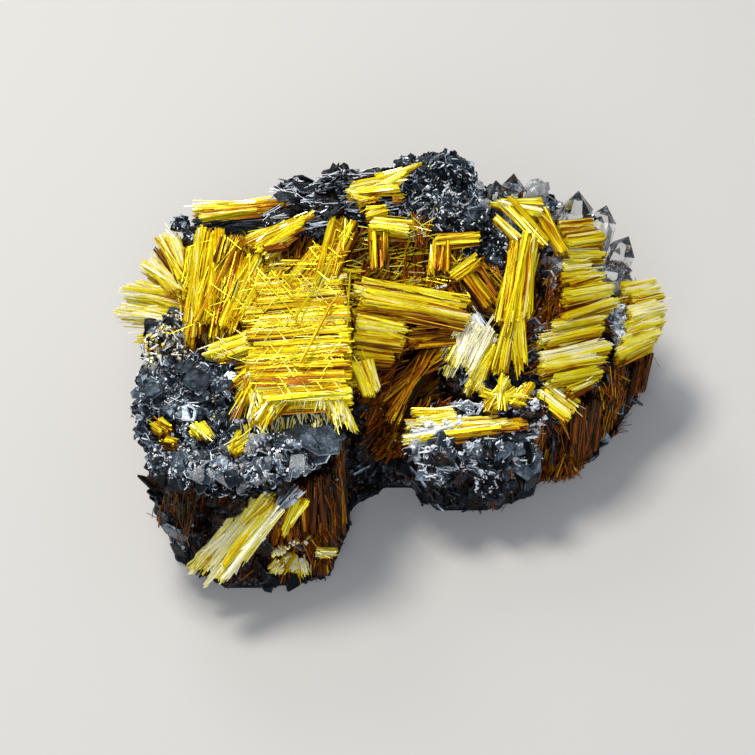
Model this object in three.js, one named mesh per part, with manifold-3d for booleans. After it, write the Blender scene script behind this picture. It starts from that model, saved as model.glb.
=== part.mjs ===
// Golden rutile on specular hematite with a little quartz: sheaves of straight needles
// lie on, in and across a black platy matrix with a flat underside.
// Millimetres, +Z up, +X along the longest side, origin under the middle of the specimen.

import * as THREE from 'three';
import { ConvexGeometry } from 'three/addons/geometries/ConvexGeometry.js';
import { mergeVertices } from 'three/addons/utils/BufferGeometryUtils.js';
import Module from 'manifold-3d';

const wasm = await Module();
wasm.setup();

// ---- Driving dimensions ---------------------------------------------------------------

const SEAT_GAP = 0.32;          // clear space between a sheaf or crystal and what it sits in
const STRAND_OVERLAP = 1.3;     // strand width over the space that it has
const TOP_STEP = 0.45;          // how far the upper edge of one strand lies below another's
const PLATE_SIDES = 6;          // hematite plates are six-sided
const SLIVER = 0.06;            // facets narrower than this, left by joins and cuts, are dropped
const SPECIMEN_REACH = 80;      // larger than the specimen, for the flat cut underneath
const UP = [0, 0, 1];
const MIDDLE = [0, 1.03];       // middle of the footprint, in the frame that the tables below use

const GOLD = new THREE.MeshStandardMaterial({ color: 0xe0a80c, roughness: 0.35, metalness: 0.1 });
const BROWN = new THREE.MeshStandardMaterial({ color: 0x8a4a14, roughness: 0.5, metalness: 0.05 });
const HEMATITE = new THREE.MeshStandardMaterial({ color: 0x23282f, roughness: 0.3, metalness: 0.8 });
const QUARTZ = new THREE.MeshStandardMaterial({ color: 0xdfe4ea, roughness: 0.1, metalness: 0 });

// ---- Solids ---------------------------------------------------------------------------

/** Repeatable random numbers from 0 to 1. */
function dice(seed) {
  let state = seed * 2654435761 >>> 0;
  return () => {
    state = state + 0x6d2b79f5 >>> 0;
    let t = Math.imul(state ^ state >>> 15, 1 | state);
    t = t + Math.imul(t ^ t >>> 7, 61 | t) ^ t;
    return ((t ^ t >>> 14) >>> 0) / 4294967296;
  };
}

/** The solid that a closed three.js geometry bounds. */
function solid(geometry) {
  const bare = geometry.clone();
  bare.deleteAttribute('normal');
  bare.deleteAttribute('uv');
  const merged = mergeVertices(bare, 1e-5);
  return new wasm.Manifold(new wasm.Mesh({
    numProp: 3,
    vertProperties: new Float32Array(merged.attributes.position.array),
    triVerts: new Uint32Array(merged.index.array),
  }));
}

const hull = (points) => solid(new ConvexGeometry(points));

function join(solids) {
  return solids.reduce((whole, piece) => whole.add(piece));
}

/** The biggest of the loose bodies in a solid. */
function biggest(body) {
  const loose = body.decompose();
  return loose.reduce((best, piece) => (piece.volume() > best.volume() ? piece : best));
}

function vector([x, y, z]) {
  return new THREE.Vector3(x, y, z);
}

// ---- Rutile sheaves -------------------------------------------------------------------

/** Directions along, across and out of the broad face of a sheaf. */
function sheafFrame(row) {
  const root = vector(row.from);
  const along = vector(row.to).sub(root);
  const length = along.length();
  along.normalize();
  const across = new THREE.Vector3().crossVectors(vector(row.face), along).normalize();
  const out = new THREE.Vector3().crossVectors(along, across);
  const at = (t, u, n) => root.clone()
    .addScaledVector(along, t).addScaledVector(across, u).addScaledVector(out, n);
  return { length, at };
}

/** Half the width of a sheaf at a share s of its length. */
function halfWidth(row, s) {
  const [rootWidth, tipWidth] = row.width;
  return (rootWidth + (tipWidth - rootWidth) * s) / 2;
}

/** One strand: a four-sided prism with slanted ends, as deep as the sheaf. */
function strand(row, frame, lane, random) {
  const offset = row.strands > 1 ? lane / (row.strands - 1) * 2 - 1 : 0;
  const top = -random() * TOP_STEP;
  const points = [];
  for (const share of [random() * 0.06, 1 - random() * random() * 0.3]) {
    const radius = halfWidth(row, share) / row.strands * STRAND_OVERLAP;
    const u = offset * (halfWidth(row, share) - radius);
    const slant = (random() - 0.5) * radius * 2;
    const t = share * frame.length;
    points.push(frame.at(t + slant, u - radius, top), frame.at(t - slant, u + radius, top));
    points.push(frame.at(t + slant, u - radius, -row.thick), frame.at(t - slant, u + radius, -row.thick));
  }
  return hull(points);
}

/** The upper and lower corners that a sheaf needs in whatever carries it. */
function sheafSeat(row, frame) {
  const reach = halfWidth(row, 0) * STRAND_OVERLAP / row.strands + SEAT_GAP;
  const points = [];
  for (const [share, t] of [[0, -reach], [1, frame.length + reach]]) {
    const half = halfWidth(row, share) + SEAT_GAP;
    for (const side of [-1, 1]) {
      points.push(frame.at(t, side * half, SEAT_GAP));
      points.push(frame.at(t, side * half, -row.thick - SEAT_GAP));
    }
  }
  return points;
}

function sheaf(row, seed) {
  const random = dice(seed);
  const frame = sheafFrame(row);
  const strands = Array.from({ length: row.strands }, (_, lane) => strand(row, frame, lane, random));
  return { body: join(strands), seat: sheafSeat(row, frame) };
}

/**
 * One sheaf: the middle of its upper face at both ends, its widths there, its thickness and
 * its number of strands. face is the way its broad side looks, up if not given.
 */
function lay(from, to, width, thick, strands, face = UP) {
  return { from, to, width, thick, strands, face };
}

// A piece is a list of bundles. The sheaves of one bundle lie together in one seat.
const RUTILE = {
  crest_lance: [[
    lay([-4.4, 17.0, 22.7], [2.6, 18.9, 24.3], [2.6, 1.4], 1.3, 3),
  ]],
  crest_nuggets: [[
    lay([-3.6, 15.3, 22.2], [1.6, 16.4, 22.4], [2.2, 1.8], 1.6, 3),
  ]],
  northwest_bar: [[
    lay([-9.0, 17.3, 21.2], [-21.0, 17.1, 19.4], [1.7, 2.1], 1.8, 4),
  ]],
  northwest_blade: [[
    lay([-7.6, 15.0, 21.6], [-14.4, 11.5, 19.7], [2.0, 3.9], 1.3, 5),
  ]],
  west_fan: [
    [
      lay([-19.8, 6.0, 15.9], [-28.6, 11.8, 11.2], [2.2, 2.4], 1.6, 3),
      lay([-20.0, 7.4, 16.3], [-27.4, 14.4, 12.2], [2.4, 2.6], 1.8, 3),
    ],
    [
      lay([-20.2, 8.6, 16.7], [-25.8, 16.9, 13.2], [2.4, 2.8], 1.8, 3),
      lay([-20.6, 9.6, 17.1], [-23.6, 19.4, 15.0], [2.2, 2.4], 1.8, 3),
    ],
    [lay([-21.2, 5.4, 14.8], [-26.4, 7.8, 11.0], [2.0, 1.6], 1.4, 2)],
  ],
  east_column: [
    [lay([13.5, 12.7, 21.2], [12.0, 2.6, 16.2], [3.0, 2.8], 2.2, 4)],
    [
      lay([12.1, 5.0, 17.2], [10.5, -1.2, 13.4], [1.5, 1.2], 1.4, 2),
      lay([12.9, 5.0, 17.2], [12.7, -0.8, 13.9], [1.4, 1.1], 1.4, 2),
    ],
    [lay([13.0, 11.8, 21.0], [10.2, 14.9, 21.6], [0.9, 0.7], 0.7, 1)],
  ],
  centre_bar: [
    [lay([-3.7, 7.2, 18.8], [9.2, 5.6, 16.7], [3.6, 2.8], 2.2, 6)],
    [
      lay([-3.7, 4.9, 17.5], [1.6, 4.6, 16.5], [3.0, 2.8], 1.8, 2),
      lay([-3.7, 2.6, 18.1], [1.9, 2.5, 16.7], [3.0, 2.5], 2.0, 4),
    ],
    [lay([-3.6, 0.6, 16.8], [0.6, 0.8, 15.6], [3.0, 2.6], 1.8, 3)],
  ],
  north_posts: [[
    lay([-2.2, 13.9, 21.4], [2.4, 13.5, 21.1], [1.9, 1.7], 1.6, 3),
    lay([-1.2, 13.6, 21.0], [-1.2, 9.6, 19.3], [1.9, 1.9], 1.6, 2),
  ]],
  lattice_mat: [
    [
      lay([-19.0, 15.2, 19.2], [-19.1, 0.9, 16.6], [2.4, 2.2], 2.2, 3),
      lay([-16.9, 14.6, 19.7], [-17.5, 1.5, 17.2], [2.2, 2.4], 2.2, 3),
    ],
    [
      lay([-14.4, 10.2, 19.3], [-16.0, 1.4, 17.8], [2.6, 2.6], 2.2, 3),
      lay([-12.4, 8.2, 19.4], [-14.2, 2.0, 18.4], [2.4, 2.2], 2.0, 2),
    ],
    [
      lay([-4.4, 5.9, 20.1], [-13.6, 5.5, 19.5], [4.4, 4.2], 2.8, 4),
      lay([-4.2, 1.6, 19.7], [-14.4, 1.4, 18.9], [4.8, 4.8], 2.8, 4),
      lay([-3.9, -2.9, 19.3], [-14.2, -2.8, 18.6], [4.8, 4.6], 2.8, 4),
      lay([-3.9, -6.0, 18.9], [-13.2, -6.0, 18.4], [2.6, 2.6], 2.4, 2),
    ],
    [lay([-13.0, 0.9, 18.3], [-19.2, -0.1, 16.4], [2.2, 1.6], 1.6, 3)],
    [
      lay([-4.4, 14.8, 21.2], [-6.9, 5.8, 20.2], [2.2, 2.6], 2.2, 3),
      lay([-6.4, 11.2, 20.5], [-9.9, 5.8, 19.9], [2.2, 2.8], 2.0, 3),
    ],
    [
      lay([-8.5, -6.7, 18.2], [-8.6, -9.0, 16.4], [6.8, 6.4], 1.2, 7),
      lay([-5.2, -6.4, 18.2], [-6.3, -10.4, 16.3], [1.4, 1.0], 1.2, 2),
    ],
    [lay([-13.8, -3.6, 18.2], [-15.2, -8.2, 16.3], [2.2, 1.6], 1.6, 2)],
    [lay([-13.3, 7.6, 20.2], [-8.0, -0.4, 19.9], [0.7, 0.6], 0.9, 1)],
    [lay([-5.4, 4.0, 20.2], [-9.2, -5.0, 19.4], [0.7, 0.6], 1.0, 1)],
  ],
  mat_nub: [[
    lay([-3.0, -2.2, 18.2], [-1.4, -5.8, 16.2], [2.2, 1.6], 1.6, 3),
  ]],
  diagonal_bar: [[
    lay([5.0, 4.6, 13.4], [-1.8, -4.6, 12.0], [2.2, 2.4], 1.8, 3),
  ]],
  cavity_wedge: [
    [lay([9.2, 5.0, 15.2], [5.7, 1.7, 9.3], [3.9, 3.4], 1.8, 4)],
    [lay([10.4, 3.4, 14.4], [7.6, -1.4, 10.8], [1.6, 1.4], 1.4, 2)],
  ],
  north_bundle_west: [
    [lay([5.2, 13.4, 19.4], [4.8, 9.2, 17.9], [1.9, 1.7], 1.6, 3)],
    [lay([4.4, 13.1, 19.5], [9.4, 13.5, 19.6], [1.2, 1.0], 1.2, 2)],
  ],
  north_bundle_east: [
    [lay([9.0, 10.9, 18.8], [5.8, 8.9, 18.0], [1.4, 1.1], 1.3, 2)],
    [lay([7.7, 10.4, 18.3], [10.8, 6.6, 16.6], [2.2, 2.2], 1.6, 3)],
  ],
  northeast_bars: [
    [lay([15.7, 16.7, 20.7], [10.2, 17.0, 21.1], [1.6, 0.9], 1.2, 2)],
    [lay([12.0, 17.0, 21.4], [15.9, 11.8, 19.9], [1.3, 1.2], 1.1, 2)],
    [lay([15.4, 16.4, 20.6], [18.2, 11.2, 18.4], [1.3, 1.0], 1.1, 2)],
  ],
  northeast_block: [
    [lay([17.6, 15.2, 18.3], [22.0, 17.0, 17.2], [3.6, 3.2], 2.0, 4)],
    [lay([18.0, 13.2, 17.6], [22.4, 14.6, 16.2], [1.5, 1.3], 1.3, 2)],
  ],
  east_sheaf_upper: [[
    lay([17.6, 9.0, 17.0], [23.0, 11.0, 15.4], [5.2, 4.6], 2.2, 6),
  ]],
  east_sheaf_middle: [[
    lay([17.0, 5.4, 16.1], [23.8, 8.0, 14.5], [1.6, 1.4], 1.6, 2),
    lay([15.5, 3.2, 15.7], [22.2, 5.9, 14.3], [2.8, 2.6], 2.0, 4),
  ]],
  east_sheaf_lower: [[
    lay([14.9, 0.3, 15.0], [22.8, 3.5, 13.4], [2.8, 2.6], 2.0, 3),
    lay([15.4, -1.7, 14.4], [22.2, 1.1, 12.8], [2.6, 2.4], 2.0, 3),
  ]],
  east_rim: [
    [
      lay([24.4, 11.6, 13.2], [28.2, 13.3, 12.4], [2.9, 2.8], 2.4, 3),
      lay([24.1, 8.8, 12.8], [28.5, 10.7, 12.0], [3.2, 3.0], 2.4, 4),
    ],
    [
      lay([23.6, 6.2, 12.4], [28.1, 8.4, 11.8], [2.9, 2.6], 2.2, 3),
      lay([22.8, 4.0, 12.0], [26.9, 6.2, 11.4], [2.2, 1.8], 2.0, 2),
    ],
  ],
  southeast_tuft: [[
    lay([15.2, -1.4, 13.3], [18.7, -3.6, 11.6], [2.6, 2.8], 1.4, 4),
  ]],
  south_star: [
    [lay([9.4, -4.2, 13.0], [12.3, -1.0, 13.9], [2.4, 2.8], 1.4, 4)],
    [lay([12.0, -3.6, 12.9], [13.9, -1.6, 13.8], [1.3, 1.2], 1.2, 2)],
  ],
  south_lip_bar: [[
    lay([13.6, -4.7, 12.1], [1.2, -5.8, 11.4], [1.5, 2.7], 1.8, 4),
    lay([6.8, -3.5, 12.0], [2.2, -4.0, 11.7], [1.4, 1.8], 1.6, 2),
  ]],
  front_tuft: [
    [lay([-12.6, -15.4, 13.2], [-20.6, -17.4, 1.5], [3.4, 3.2], 1.9, 4, [-0.5, -0.6, 0.6])],
    [lay([-10.6, -15.7, 12.2], [-17.4, -21.4, 6.6], [1.8, 2.0], 1.6, 2, [-0.2, -0.7, 0.7])],
  ],
  front_low_tuft: [[
    lay([-11.6, -16.9, 3.6], [-5.4, -15.9, 4.8], [2.2, 1.8], 1.6, 4, [0, -1, 0.2]),
  ]],
  front_blade: [[
    lay([-8.4, -15.2, 12.2], [-10.5, -17.3, 8.6], [1.4, 1.2], 1.2, 2, [0.2, -1, 0.3]),
  ]],
  lobe_tuft_west: [[
    lay([-22.6, -8.2, 16.0], [-20.8, -11.8, 16.2], [1.8, 1.8], 1.3, 3),
  ]],
  lobe_tuft_middle: [[
    lay([-18.6, -8.8, 16.4], [-17.3, -11.2, 16.0], [1.5, 1.6], 1.3, 2),
  ]],
  lobe_tuft_east: [[
    lay([-15.4, -12.2, 16.2], [-13.4, -9.8, 16.6], [1.6, 2.0], 1.3, 3),
  ]],
};

// Broken ends of needles that show as upright brown fibres in the walls.
const WALL_FIBRES = {
  lobe_corner_fibres: [[
    lay([-7.2, -14.0, 13.6], [-7.0, -15.0, 6.4], [3.0, 3.4], 1.6, 4, [0.5, -0.85, 0]),
  ]],
  lobe_side_fibres: [[
    lay([-4.7, -10.4, 14.0], [-4.4, -10.8, 1.4], [3.2, 3.4], 1.6, 4, [0.95, -0.3, 0]),
  ]],
  east_wall_fibres: [[
    lay([20.0, -2.2, 11.4], [19.8, -3.0, 3.2], [3.6, 3.2], 1.6, 4, [0.55, -0.83, 0]),
  ]],
  rim_wall_fibres: [[
    lay([26.4, 5.4, 9.6], [26.0, 4.8, 3.8], [2.8, 2.4], 1.6, 3, [0.7, -0.7, 0]),
  ]],
};

// ---- Quartz ---------------------------------------------------------------------------

/** A quartz crystal: a six-sided prism with a pointed end, from its root to its tip. */
function crystal({ root, tip, radius, spin = 0 }) {
  const base = vector(root);
  const axis = vector(tip).sub(base);
  const length = axis.length();
  const turn = new THREE.Quaternion().setFromUnitVectors(new THREE.Vector3(0, 0, 1), axis.normalize());
  const ring = (z, size) => Array.from({ length: 6 }, (_, side) => {
    const angle = spin + side / 6 * Math.PI * 2;
    return new THREE.Vector3(size * Math.cos(angle), size * Math.sin(angle), z);
  });
  const shoulder = Math.max(length - radius * 1.1, length * 0.5);
  const points = [...ring(0, radius), ...ring(shoulder, radius), new THREE.Vector3(0, 0, length)];
  return points.map((point) => point.applyQuaternion(turn).add(base));
}

/** A rough grain: points spread over an egg, pushed in and out a little. */
function grain({ centre, size, points = 12, seed }) {
  const random = dice(seed);
  const golden = Math.PI * (3 - Math.sqrt(5));
  return Array.from({ length: points }, (_, index) => {
    const z = 1 - 2 * (index + 0.5) / points;
    const ring = Math.sqrt(1 - z * z);
    const push = 0.78 + 0.22 * random();
    const angle = golden * index + random() * 0.6;
    return new THREE.Vector3(
      centre[0] + size[0] * push * ring * Math.cos(angle),
      centre[1] + size[1] * push * ring * Math.sin(angle),
      centre[2] + size[2] * push * z,
    );
  });
}

const QUARTZES = {
  quartz_northeast_crystals: [
    crystal({ root: [19.2, 18.6, 13.6], tip: [19.6, 20.9, 18.6], radius: 1.9, spin: 0.3 }),
    crystal({ root: [21.4, 17.6, 13.2], tip: [22.6, 20.4, 17.0], radius: 1.5, spin: 0.8 }),
    grain({ centre: [20.9, 19.2, 14.6], size: [2.2, 2.0, 2.0], seed: 61 }),
  ],
  quartz_east_crystals: [
    crystal({ root: [23.0, 15.6, 11.4], tip: [24.8, 17.2, 15.6], radius: 1.6, spin: 0.5 }),
    grain({ centre: [23.4, 14.6, 13.2], size: [1.9, 1.7, 1.7], seed: 62 }),
  ],
  quartz_north_tip: [
    crystal({ root: [12.4, 18.6, 17.0], tip: [12.8, 21.2, 20.8], radius: 1.6, spin: 0.2 }),
    crystal({ root: [11.2, 18.4, 17.6], tip: [10.9, 20.2, 20.8], radius: 1.0, spin: 0.9 }),
  ],
  quartz_lobe_crust: [
    grain({ centre: [-18.2, -14.2, 14.9], size: [2.0, 1.4, 1.2], seed: 63 }),
    grain({ centre: [-15.6, -14.5, 14.9], size: [2.0, 1.5, 1.3], seed: 64 }),
    grain({ centre: [-12.8, -14.4, 15.0], size: [2.0, 1.4, 1.2], seed: 65 }),
  ],
  quartz_lobe_chip: [
    grain({ centre: [-8.9, -13.3, 15.4], size: [1.4, 1.2, 1.0], points: 9, seed: 66 }),
  ],
  quartz_west_crust: [
    grain({ centre: [-23.6, 2.2, 14.6], size: [1.4, 1.6, 1.3], seed: 67 }),
    grain({ centre: [-22.2, 3.6, 15.0], size: [1.3, 1.3, 1.2], seed: 68 }),
  ],
};

/** The space that a convex crystal needs: its points moved out to the corners of a small cube. */
function crystalSeat(points) {
  const corners = [-1, 1].flatMap((x) => [-1, 1].flatMap((y) => [-1, 1].map((z) => [x, y, z])));
  return hull(points.flatMap((point) => corners.map(
    (corner) => point.clone().addScaledVector(vector(corner), SEAT_GAP),
  )));
}

// ---- Hematite matrix ------------------------------------------------------------------

/** A block with flat faces between an upper outline and a lower one on the ground. */
function block(upper, lower) {
  return hull([...upper.map(vector), ...lower.map(([x, y]) => vector([x, y, 0]))]);
}

const BLOCKS = {
  leftLobe: block(
    [[-24, 1.7, 14.6], [-25.8, -1.3, 14.6], [-24.6, -5.6, 15.3], [-23.3, -12.4, 15],
      [-21.4, -14.8, 14.8], [-16.7, -15.9, 14.9], [-12.5, -15.9, 15], [-8.9, -14.6, 15.4],
      [-6.6, -12.6, 15.8], [-4.6, -7.4, 16.2], [-4.4, 0, 16.2]],
    [[-23.4, 1], [-24.0, -2], [-23.4, -6], [-21.6, -13.2], [-16.5, -16.7], [-13, -16.9],
      [-10, -16.5], [-6, -15.2], [-4, -9], [-4, 0]],
  ),
  centre: block(
    [[-20.6, 0, 15.6], [-21, 8, 15.8], [-20.4, 16, 17], [-12, 17.6, 18.2], [-4, 16.6, 18.6],
      [-3.6, 8, 17.4], [-3.6, -6.4, 16.8], [-13.8, -7.4, 16.6], [-16, -5, 16.2]],
    [[-22, 2], [-22.4, 14], [-18, 18], [-6, 19], [-1, 17], [-1, -3], [-4, -7], [-16, -7]],
  ),
  westShoulder: block(
    [[-24.6, 2, 13.4], [-25.4, 8, 11.4], [-24.2, 14.4, 12.2], [-21.6, 18.2, 15.2],
      [-19, 17, 17], [-18.6, 2, 16]],
    [[-24, 1], [-24.8, 7], [-23, 14], [-20, 17.6], [-18, 2]],
  ),
  northCrest: block(
    [[-13.4, 14, 19.6], [-9.6, 19, 21], [-4, 20.2, 21.8], [1, 21, 22.4], [5, 22, 22.6],
      [8.8, 21.4, 21.2], [10.2, 18, 20.2], [9, 14.2, 19], [2, 13.4, 19.4], [-6, 13.6, 19.6]],
    [[-12, 15], [-9, 20.4], [0, 22.2], [6, 22.8], [10, 21], [10, 14], [-6, 12]],
  ),
  northEast: block(
    [[9, 20.4, 19.6], [13.6, 22, 18.6], [17.4, 21.6, 16.4], [21.4, 20, 14.4], [22.2, 12, 13.8],
      [18, 7, 14.8], [12, 7, 15.6], [9, 13, 17.6]],
    [[8, 21], [14, 22.4], [20, 20.8], [23, 16], [23, 4], [14, -1], [8, 2]],
  ),
  east: block(
    [[23, 17.4, 12.2], [25.6, 14.4, 11.2], [27.2, 11, 10.2], [26.8, 7.6, 9.8], [22.8, 2.4, 10.2],
      [18, -3, 11.8], [15, -4.2, 12.2], [13.6, 4, 13.8], [17, 12, 14.6], [21, 18, 13.8]],
    [[23, 17], [26, 13], [26.4, 8.4], [22.8, 2.4], [18.5, -2.4], [14, -3.5], [13, 4]],
  ),
  southLip: block(
    [[1.4, -5.2, 10], [2.2, -7.8, 9.2], [6, -9, 8.6], [10, -8.6, 9], [14.4, -6.6, 10.4],
      [16.4, -3, 11.8], [14, 0, 12.2], [8.2, -1.6, 11], [2, -2.6, 10.2]],
    [[2.5, -4.4], [5, -7], [10, -6.8], [14.5, -5], [16, -1], [3, 0]],
  ),
  cavityFloor: block(
    [[-3, 9, 7], [10, 9, 7], [11, -1, 6.6], [3, -4, 6.2], [-3, -4, 7]],
    [[-3, 9], [10, 9], [11, -1], [3, -4], [-3, -4]],
  ),
  underBar: block(
    [[-4, 9, 16.4], [1.6, 8.4, 15.4], [1.4, 3, 14], [-0.4, -2, 13], [-1.6, -5.6, 12.4],
      [-3.4, -6.6, 14.4]],
    [[-4, 9], [1.4, 9], [0.8, 2], [-1, -4.6], [-4, -6.4]],
  ),
  northRecess: block(
    [[-3.8, 14.4, 18.4], [5, 14, 18], [10.4, 14, 17.6], [10.8, 8.4, 16], [2, 8.4, 15.8],
      [-3.8, 8.6, 17]],
    [[-4, 14], [10, 14], [10, 9], [-4, 9]],
  ),
  barLanding: block(
    [[7.8, 8, 15.2], [12.4, 8.4, 15.8], [14, 0, 13.4], [10.4, -2, 12], [7, -1.6, 10.4],
      [7.2, 3, 12]],
    [[7.6, 8], [13, 8], [14, -1], [7, -2]],
  ),
};

/** A thin six-sided hematite plate, tilted about X and then about Y. */
function plate({ centre, radius, thick = 0.9, tilt }) {
  const geometry = new THREE.CylinderGeometry(radius, radius * 0.92, thick, PLATE_SIDES);
  geometry.rotateX(Math.PI / 2);
  geometry.rotateX(tilt[0]);
  geometry.rotateY(tilt[1]);
  geometry.translate(...centre);
  return solid(geometry);
}

const PLATES = [
  { centre: [-9.0, 17.9, 20.7], radius: 2.6, tilt: [-0.3, 0.2] },
  { centre: [-5.4, 19.4, 22.0], radius: 2.4, tilt: [-0.9, -0.2] },
  { centre: [-5.6, 14.6, 20.4], radius: 2.2, tilt: [0.5, 0.1] },
  { centre: [3.4, 20.4, 22.8], radius: 2.6, tilt: [-0.4, -0.3] },
  { centre: [6.8, 20.4, 22.2], radius: 2.4, tilt: [-0.3, 0.6] },
  { centre: [5.6, 17.6, 21.6], radius: 2.4, tilt: [0.4, 0.3] },
  { centre: [15.8, 19.6, 18.2], radius: 2.2, tilt: [-0.3, 0.4] },
  { centre: [-22.0, -3.2, 15.5], radius: 2.9, tilt: [0.15, -0.1] },
  { centre: [-17.4, -3.4, 15.9], radius: 3.4, tilt: [-0.12, 0.08] },
  { centre: [-8.4, -11.2, 16.0], radius: 3.0, tilt: [0.1, -0.12] },
  { centre: [-12.0, -12.4, 15.5], radius: 2.3, tilt: [0.2, 0.15] },
  { centre: [-23.4, -8.6, 14.9], radius: 2.1, tilt: [0.2, -0.35] },
  { centre: [5.2, -8.2, 9.4], radius: 2.5, tilt: [0.9, 0.2] },
  { centre: [9.4, -7.6, 9.6], radius: 2.4, tilt: [0.8, -0.2] },
  { centre: [12.8, -6.7, 9.0], radius: 2.3, tilt: [0.7, -0.4] },
  { centre: [10.4, -8.3, 6.6], radius: 2.6, tilt: [0.9, 0.1] },
  { centre: [23.2, 6.8, 12.6], radius: 1.8, tilt: [0.1, 0.9] },
];

/** A lump that stands out of the matrix. */
const lump = (centre, size, seed, points = 11) => hull(grain({ centre, size, seed, points }));

const LUMPS = [
  lump([-21.2, 5.0, 14.6], [2.4, 3.4, 2.4], 11),
  lump([-21.9, 18.2, 14.2], [1.9, 2.2, 3.0], 12),
  lump([5.6, 16.2, 20.0], [2.6, 2.2, 2.2], 13),
  lump([8.6, 15.4, 18.6], [2.2, 2.0, 2.2], 14),
  lump([10.6, 12.4, 16.4], [1.9, 2.6, 2.0], 15),
  lump([1.4, 20.2, 22.0], [2.2, 1.8, 1.8], 16),
  lump([-24.4, -4.0, 12.6], [2.0, 2.6, 2.8], 17),
  lump([-22.6, -12.0, 12.6], [2.2, 2.6, 3.0], 18),
  lump([16.6, 9.8, 15.6], [1.5, 2.6, 2.0], 19),
  lump([14.2, -3.2, 11.8], [1.7, 1.8, 1.7], 20),
];

/** Where ledges stand out of the walls, all round the specimen. */
const LEDGE_PATH = [
  [-21.2, -4, 4], [-19.4, -11.4, 8], [-15.4, -15, 4.4],
  [-22.8, 7, 4.4], [-21.4, 13.4, 9], [-14, 16.6, 11], [-9, 18.8, 6],
  [-2, 20, 14], [4, 20.4, 6], [12, 20.4, 11], [18.8, 18.8, 5.4],
  [23, 13.4, 7], [24, 6, 4], [17.6, -1.2, 6.6], [7.4, -5.6, 4.6],
];

/** Rough grains sunk in the walls, so that they stand out as ledges. */
function ledges() {
  return LEDGE_PATH.map((centre, index) => {
    const random = dice(index + 31);
    const size = [3.2 + random() * 1.6, 2.8 + random(), 3.0 + random() * 2.4];
    return lump(centre, size, index + 71, 9);
  });
}

// ---- Assembly -------------------------------------------------------------------------

const specimen = new THREE.Group();
const seats = [];

/** Cuts a piece clear of the pieces placed before it, and adds it with its own seats. */
function place(name, body, ownSeats, material) {
  const clear = seats.reduce((rest, seat) => rest.subtract(seat), body);
  const kept = biggest(clear.asOriginal().simplify(SLIVER));
  const { vertProperties, triVerts } = kept.getMesh();
  const geometry = new THREE.BufferGeometry();
  geometry.setAttribute('position', new THREE.BufferAttribute(vertProperties, 3));
  geometry.setIndex(new THREE.BufferAttribute(triVerts, 1));
  geometry.computeVertexNormals();
  const mesh = new THREE.Mesh(geometry, material);
  mesh.name = name;
  specimen.add(mesh);
  seats.push(...ownSeats);
}

function placeSheaves(table, material, firstSeed) {
  Object.entries(table).forEach(([name, bundles], index) => {
    let seed = firstSeed + index * 20;
    const sheaves = bundles.map((rows) => rows.map((row) => sheaf(row, seed += 1)));
    const body = join(sheaves.flat().map((one) => one.body));
    place(name, body, sheaves.map((bundle) => hull(bundle.flatMap((one) => one.seat))), material);
  });
}

placeSheaves(RUTILE, GOLD, 100);
placeSheaves(WALL_FIBRES, BROWN, 900);
for (const [name, crystals] of Object.entries(QUARTZES)) {
  place(name, join(crystals.map(hull)), crystals.map(crystalSeat), QUARTZ);
}

const ground = new THREE.BoxGeometry(SPECIMEN_REACH, SPECIMEN_REACH, SPECIMEN_REACH);
ground.translate(0, 0, -SPECIMEN_REACH / 2);
const matrix = join([...Object.values(BLOCKS), ...PLATES.map(plate), ...LUMPS, ...ledges()])
  .subtract(solid(ground));
place('hematite_matrix', matrix, [], HEMATITE);

specimen.position.set(-MIDDLE[0], -MIDDLE[1], 0);

export default specimen;
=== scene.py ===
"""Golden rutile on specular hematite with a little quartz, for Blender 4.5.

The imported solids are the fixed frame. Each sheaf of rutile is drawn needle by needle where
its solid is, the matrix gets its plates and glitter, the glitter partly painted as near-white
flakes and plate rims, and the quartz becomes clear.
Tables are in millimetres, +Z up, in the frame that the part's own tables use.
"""

import math
import random
from typing import NamedTuple, Optional

import bpy
import numpy as np
from bpy.props import FloatProperty, FloatVectorProperty, PointerProperty
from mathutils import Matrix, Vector, noise


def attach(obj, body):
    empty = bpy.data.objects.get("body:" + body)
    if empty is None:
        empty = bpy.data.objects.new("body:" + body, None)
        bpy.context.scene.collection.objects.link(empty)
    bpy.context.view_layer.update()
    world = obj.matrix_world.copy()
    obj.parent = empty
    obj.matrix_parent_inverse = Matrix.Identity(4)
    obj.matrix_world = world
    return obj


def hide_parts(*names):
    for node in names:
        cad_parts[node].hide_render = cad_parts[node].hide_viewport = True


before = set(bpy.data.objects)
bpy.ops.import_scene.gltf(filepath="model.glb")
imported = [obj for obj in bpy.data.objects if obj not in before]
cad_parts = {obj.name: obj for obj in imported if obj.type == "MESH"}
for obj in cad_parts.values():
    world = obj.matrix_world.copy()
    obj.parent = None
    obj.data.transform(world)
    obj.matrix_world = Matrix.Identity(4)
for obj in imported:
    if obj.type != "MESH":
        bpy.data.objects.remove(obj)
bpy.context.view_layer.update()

bl_info = {
    "name": "Rutile and hematite specimen",
    "version": (1, 0, 0),
    "blender": (4, 5, 0),
    "location": "View3D > Sidebar > Specimen",
    "description": "Golden rutile sheaves on a black hematite matrix with clear quartz",
    "category": "Add Mesh",
}

MM = 0.001
MIDDLE = np.array([0.0, 1.03, 0.0])   # middle of the footprint in the tables' frame
UP = (0.0, 0.0, 1.0)
FLOOR_GAP = 0.02   # millimetres: pieces stay this far above the underside, the floor below it

# Where each group's random draws start. Pieces of one group count on from it.
SHEAF_SEED, NEEDLE_SEED, WALL_SEED, CRUMB_SEED = 100, 400, 590, 600
PLATE_SEED, BROAD_SEED, QUARTZ_SEED = 700, 790, 900


# ---- Colours and nodes ----------------------------------------------------------------

def linear(colour):
    """An sRGB hex colour, such as "#E8B800", as linear red, green, blue and alpha."""
    parts = [int(colour[i:i + 2], 16) / 255 for i in (1, 3, 5)]
    return [p / 12.92 if p <= 0.04045 else ((p + 0.055) / 1.055) ** 2.4 for p in parts] + [1.0]


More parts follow.
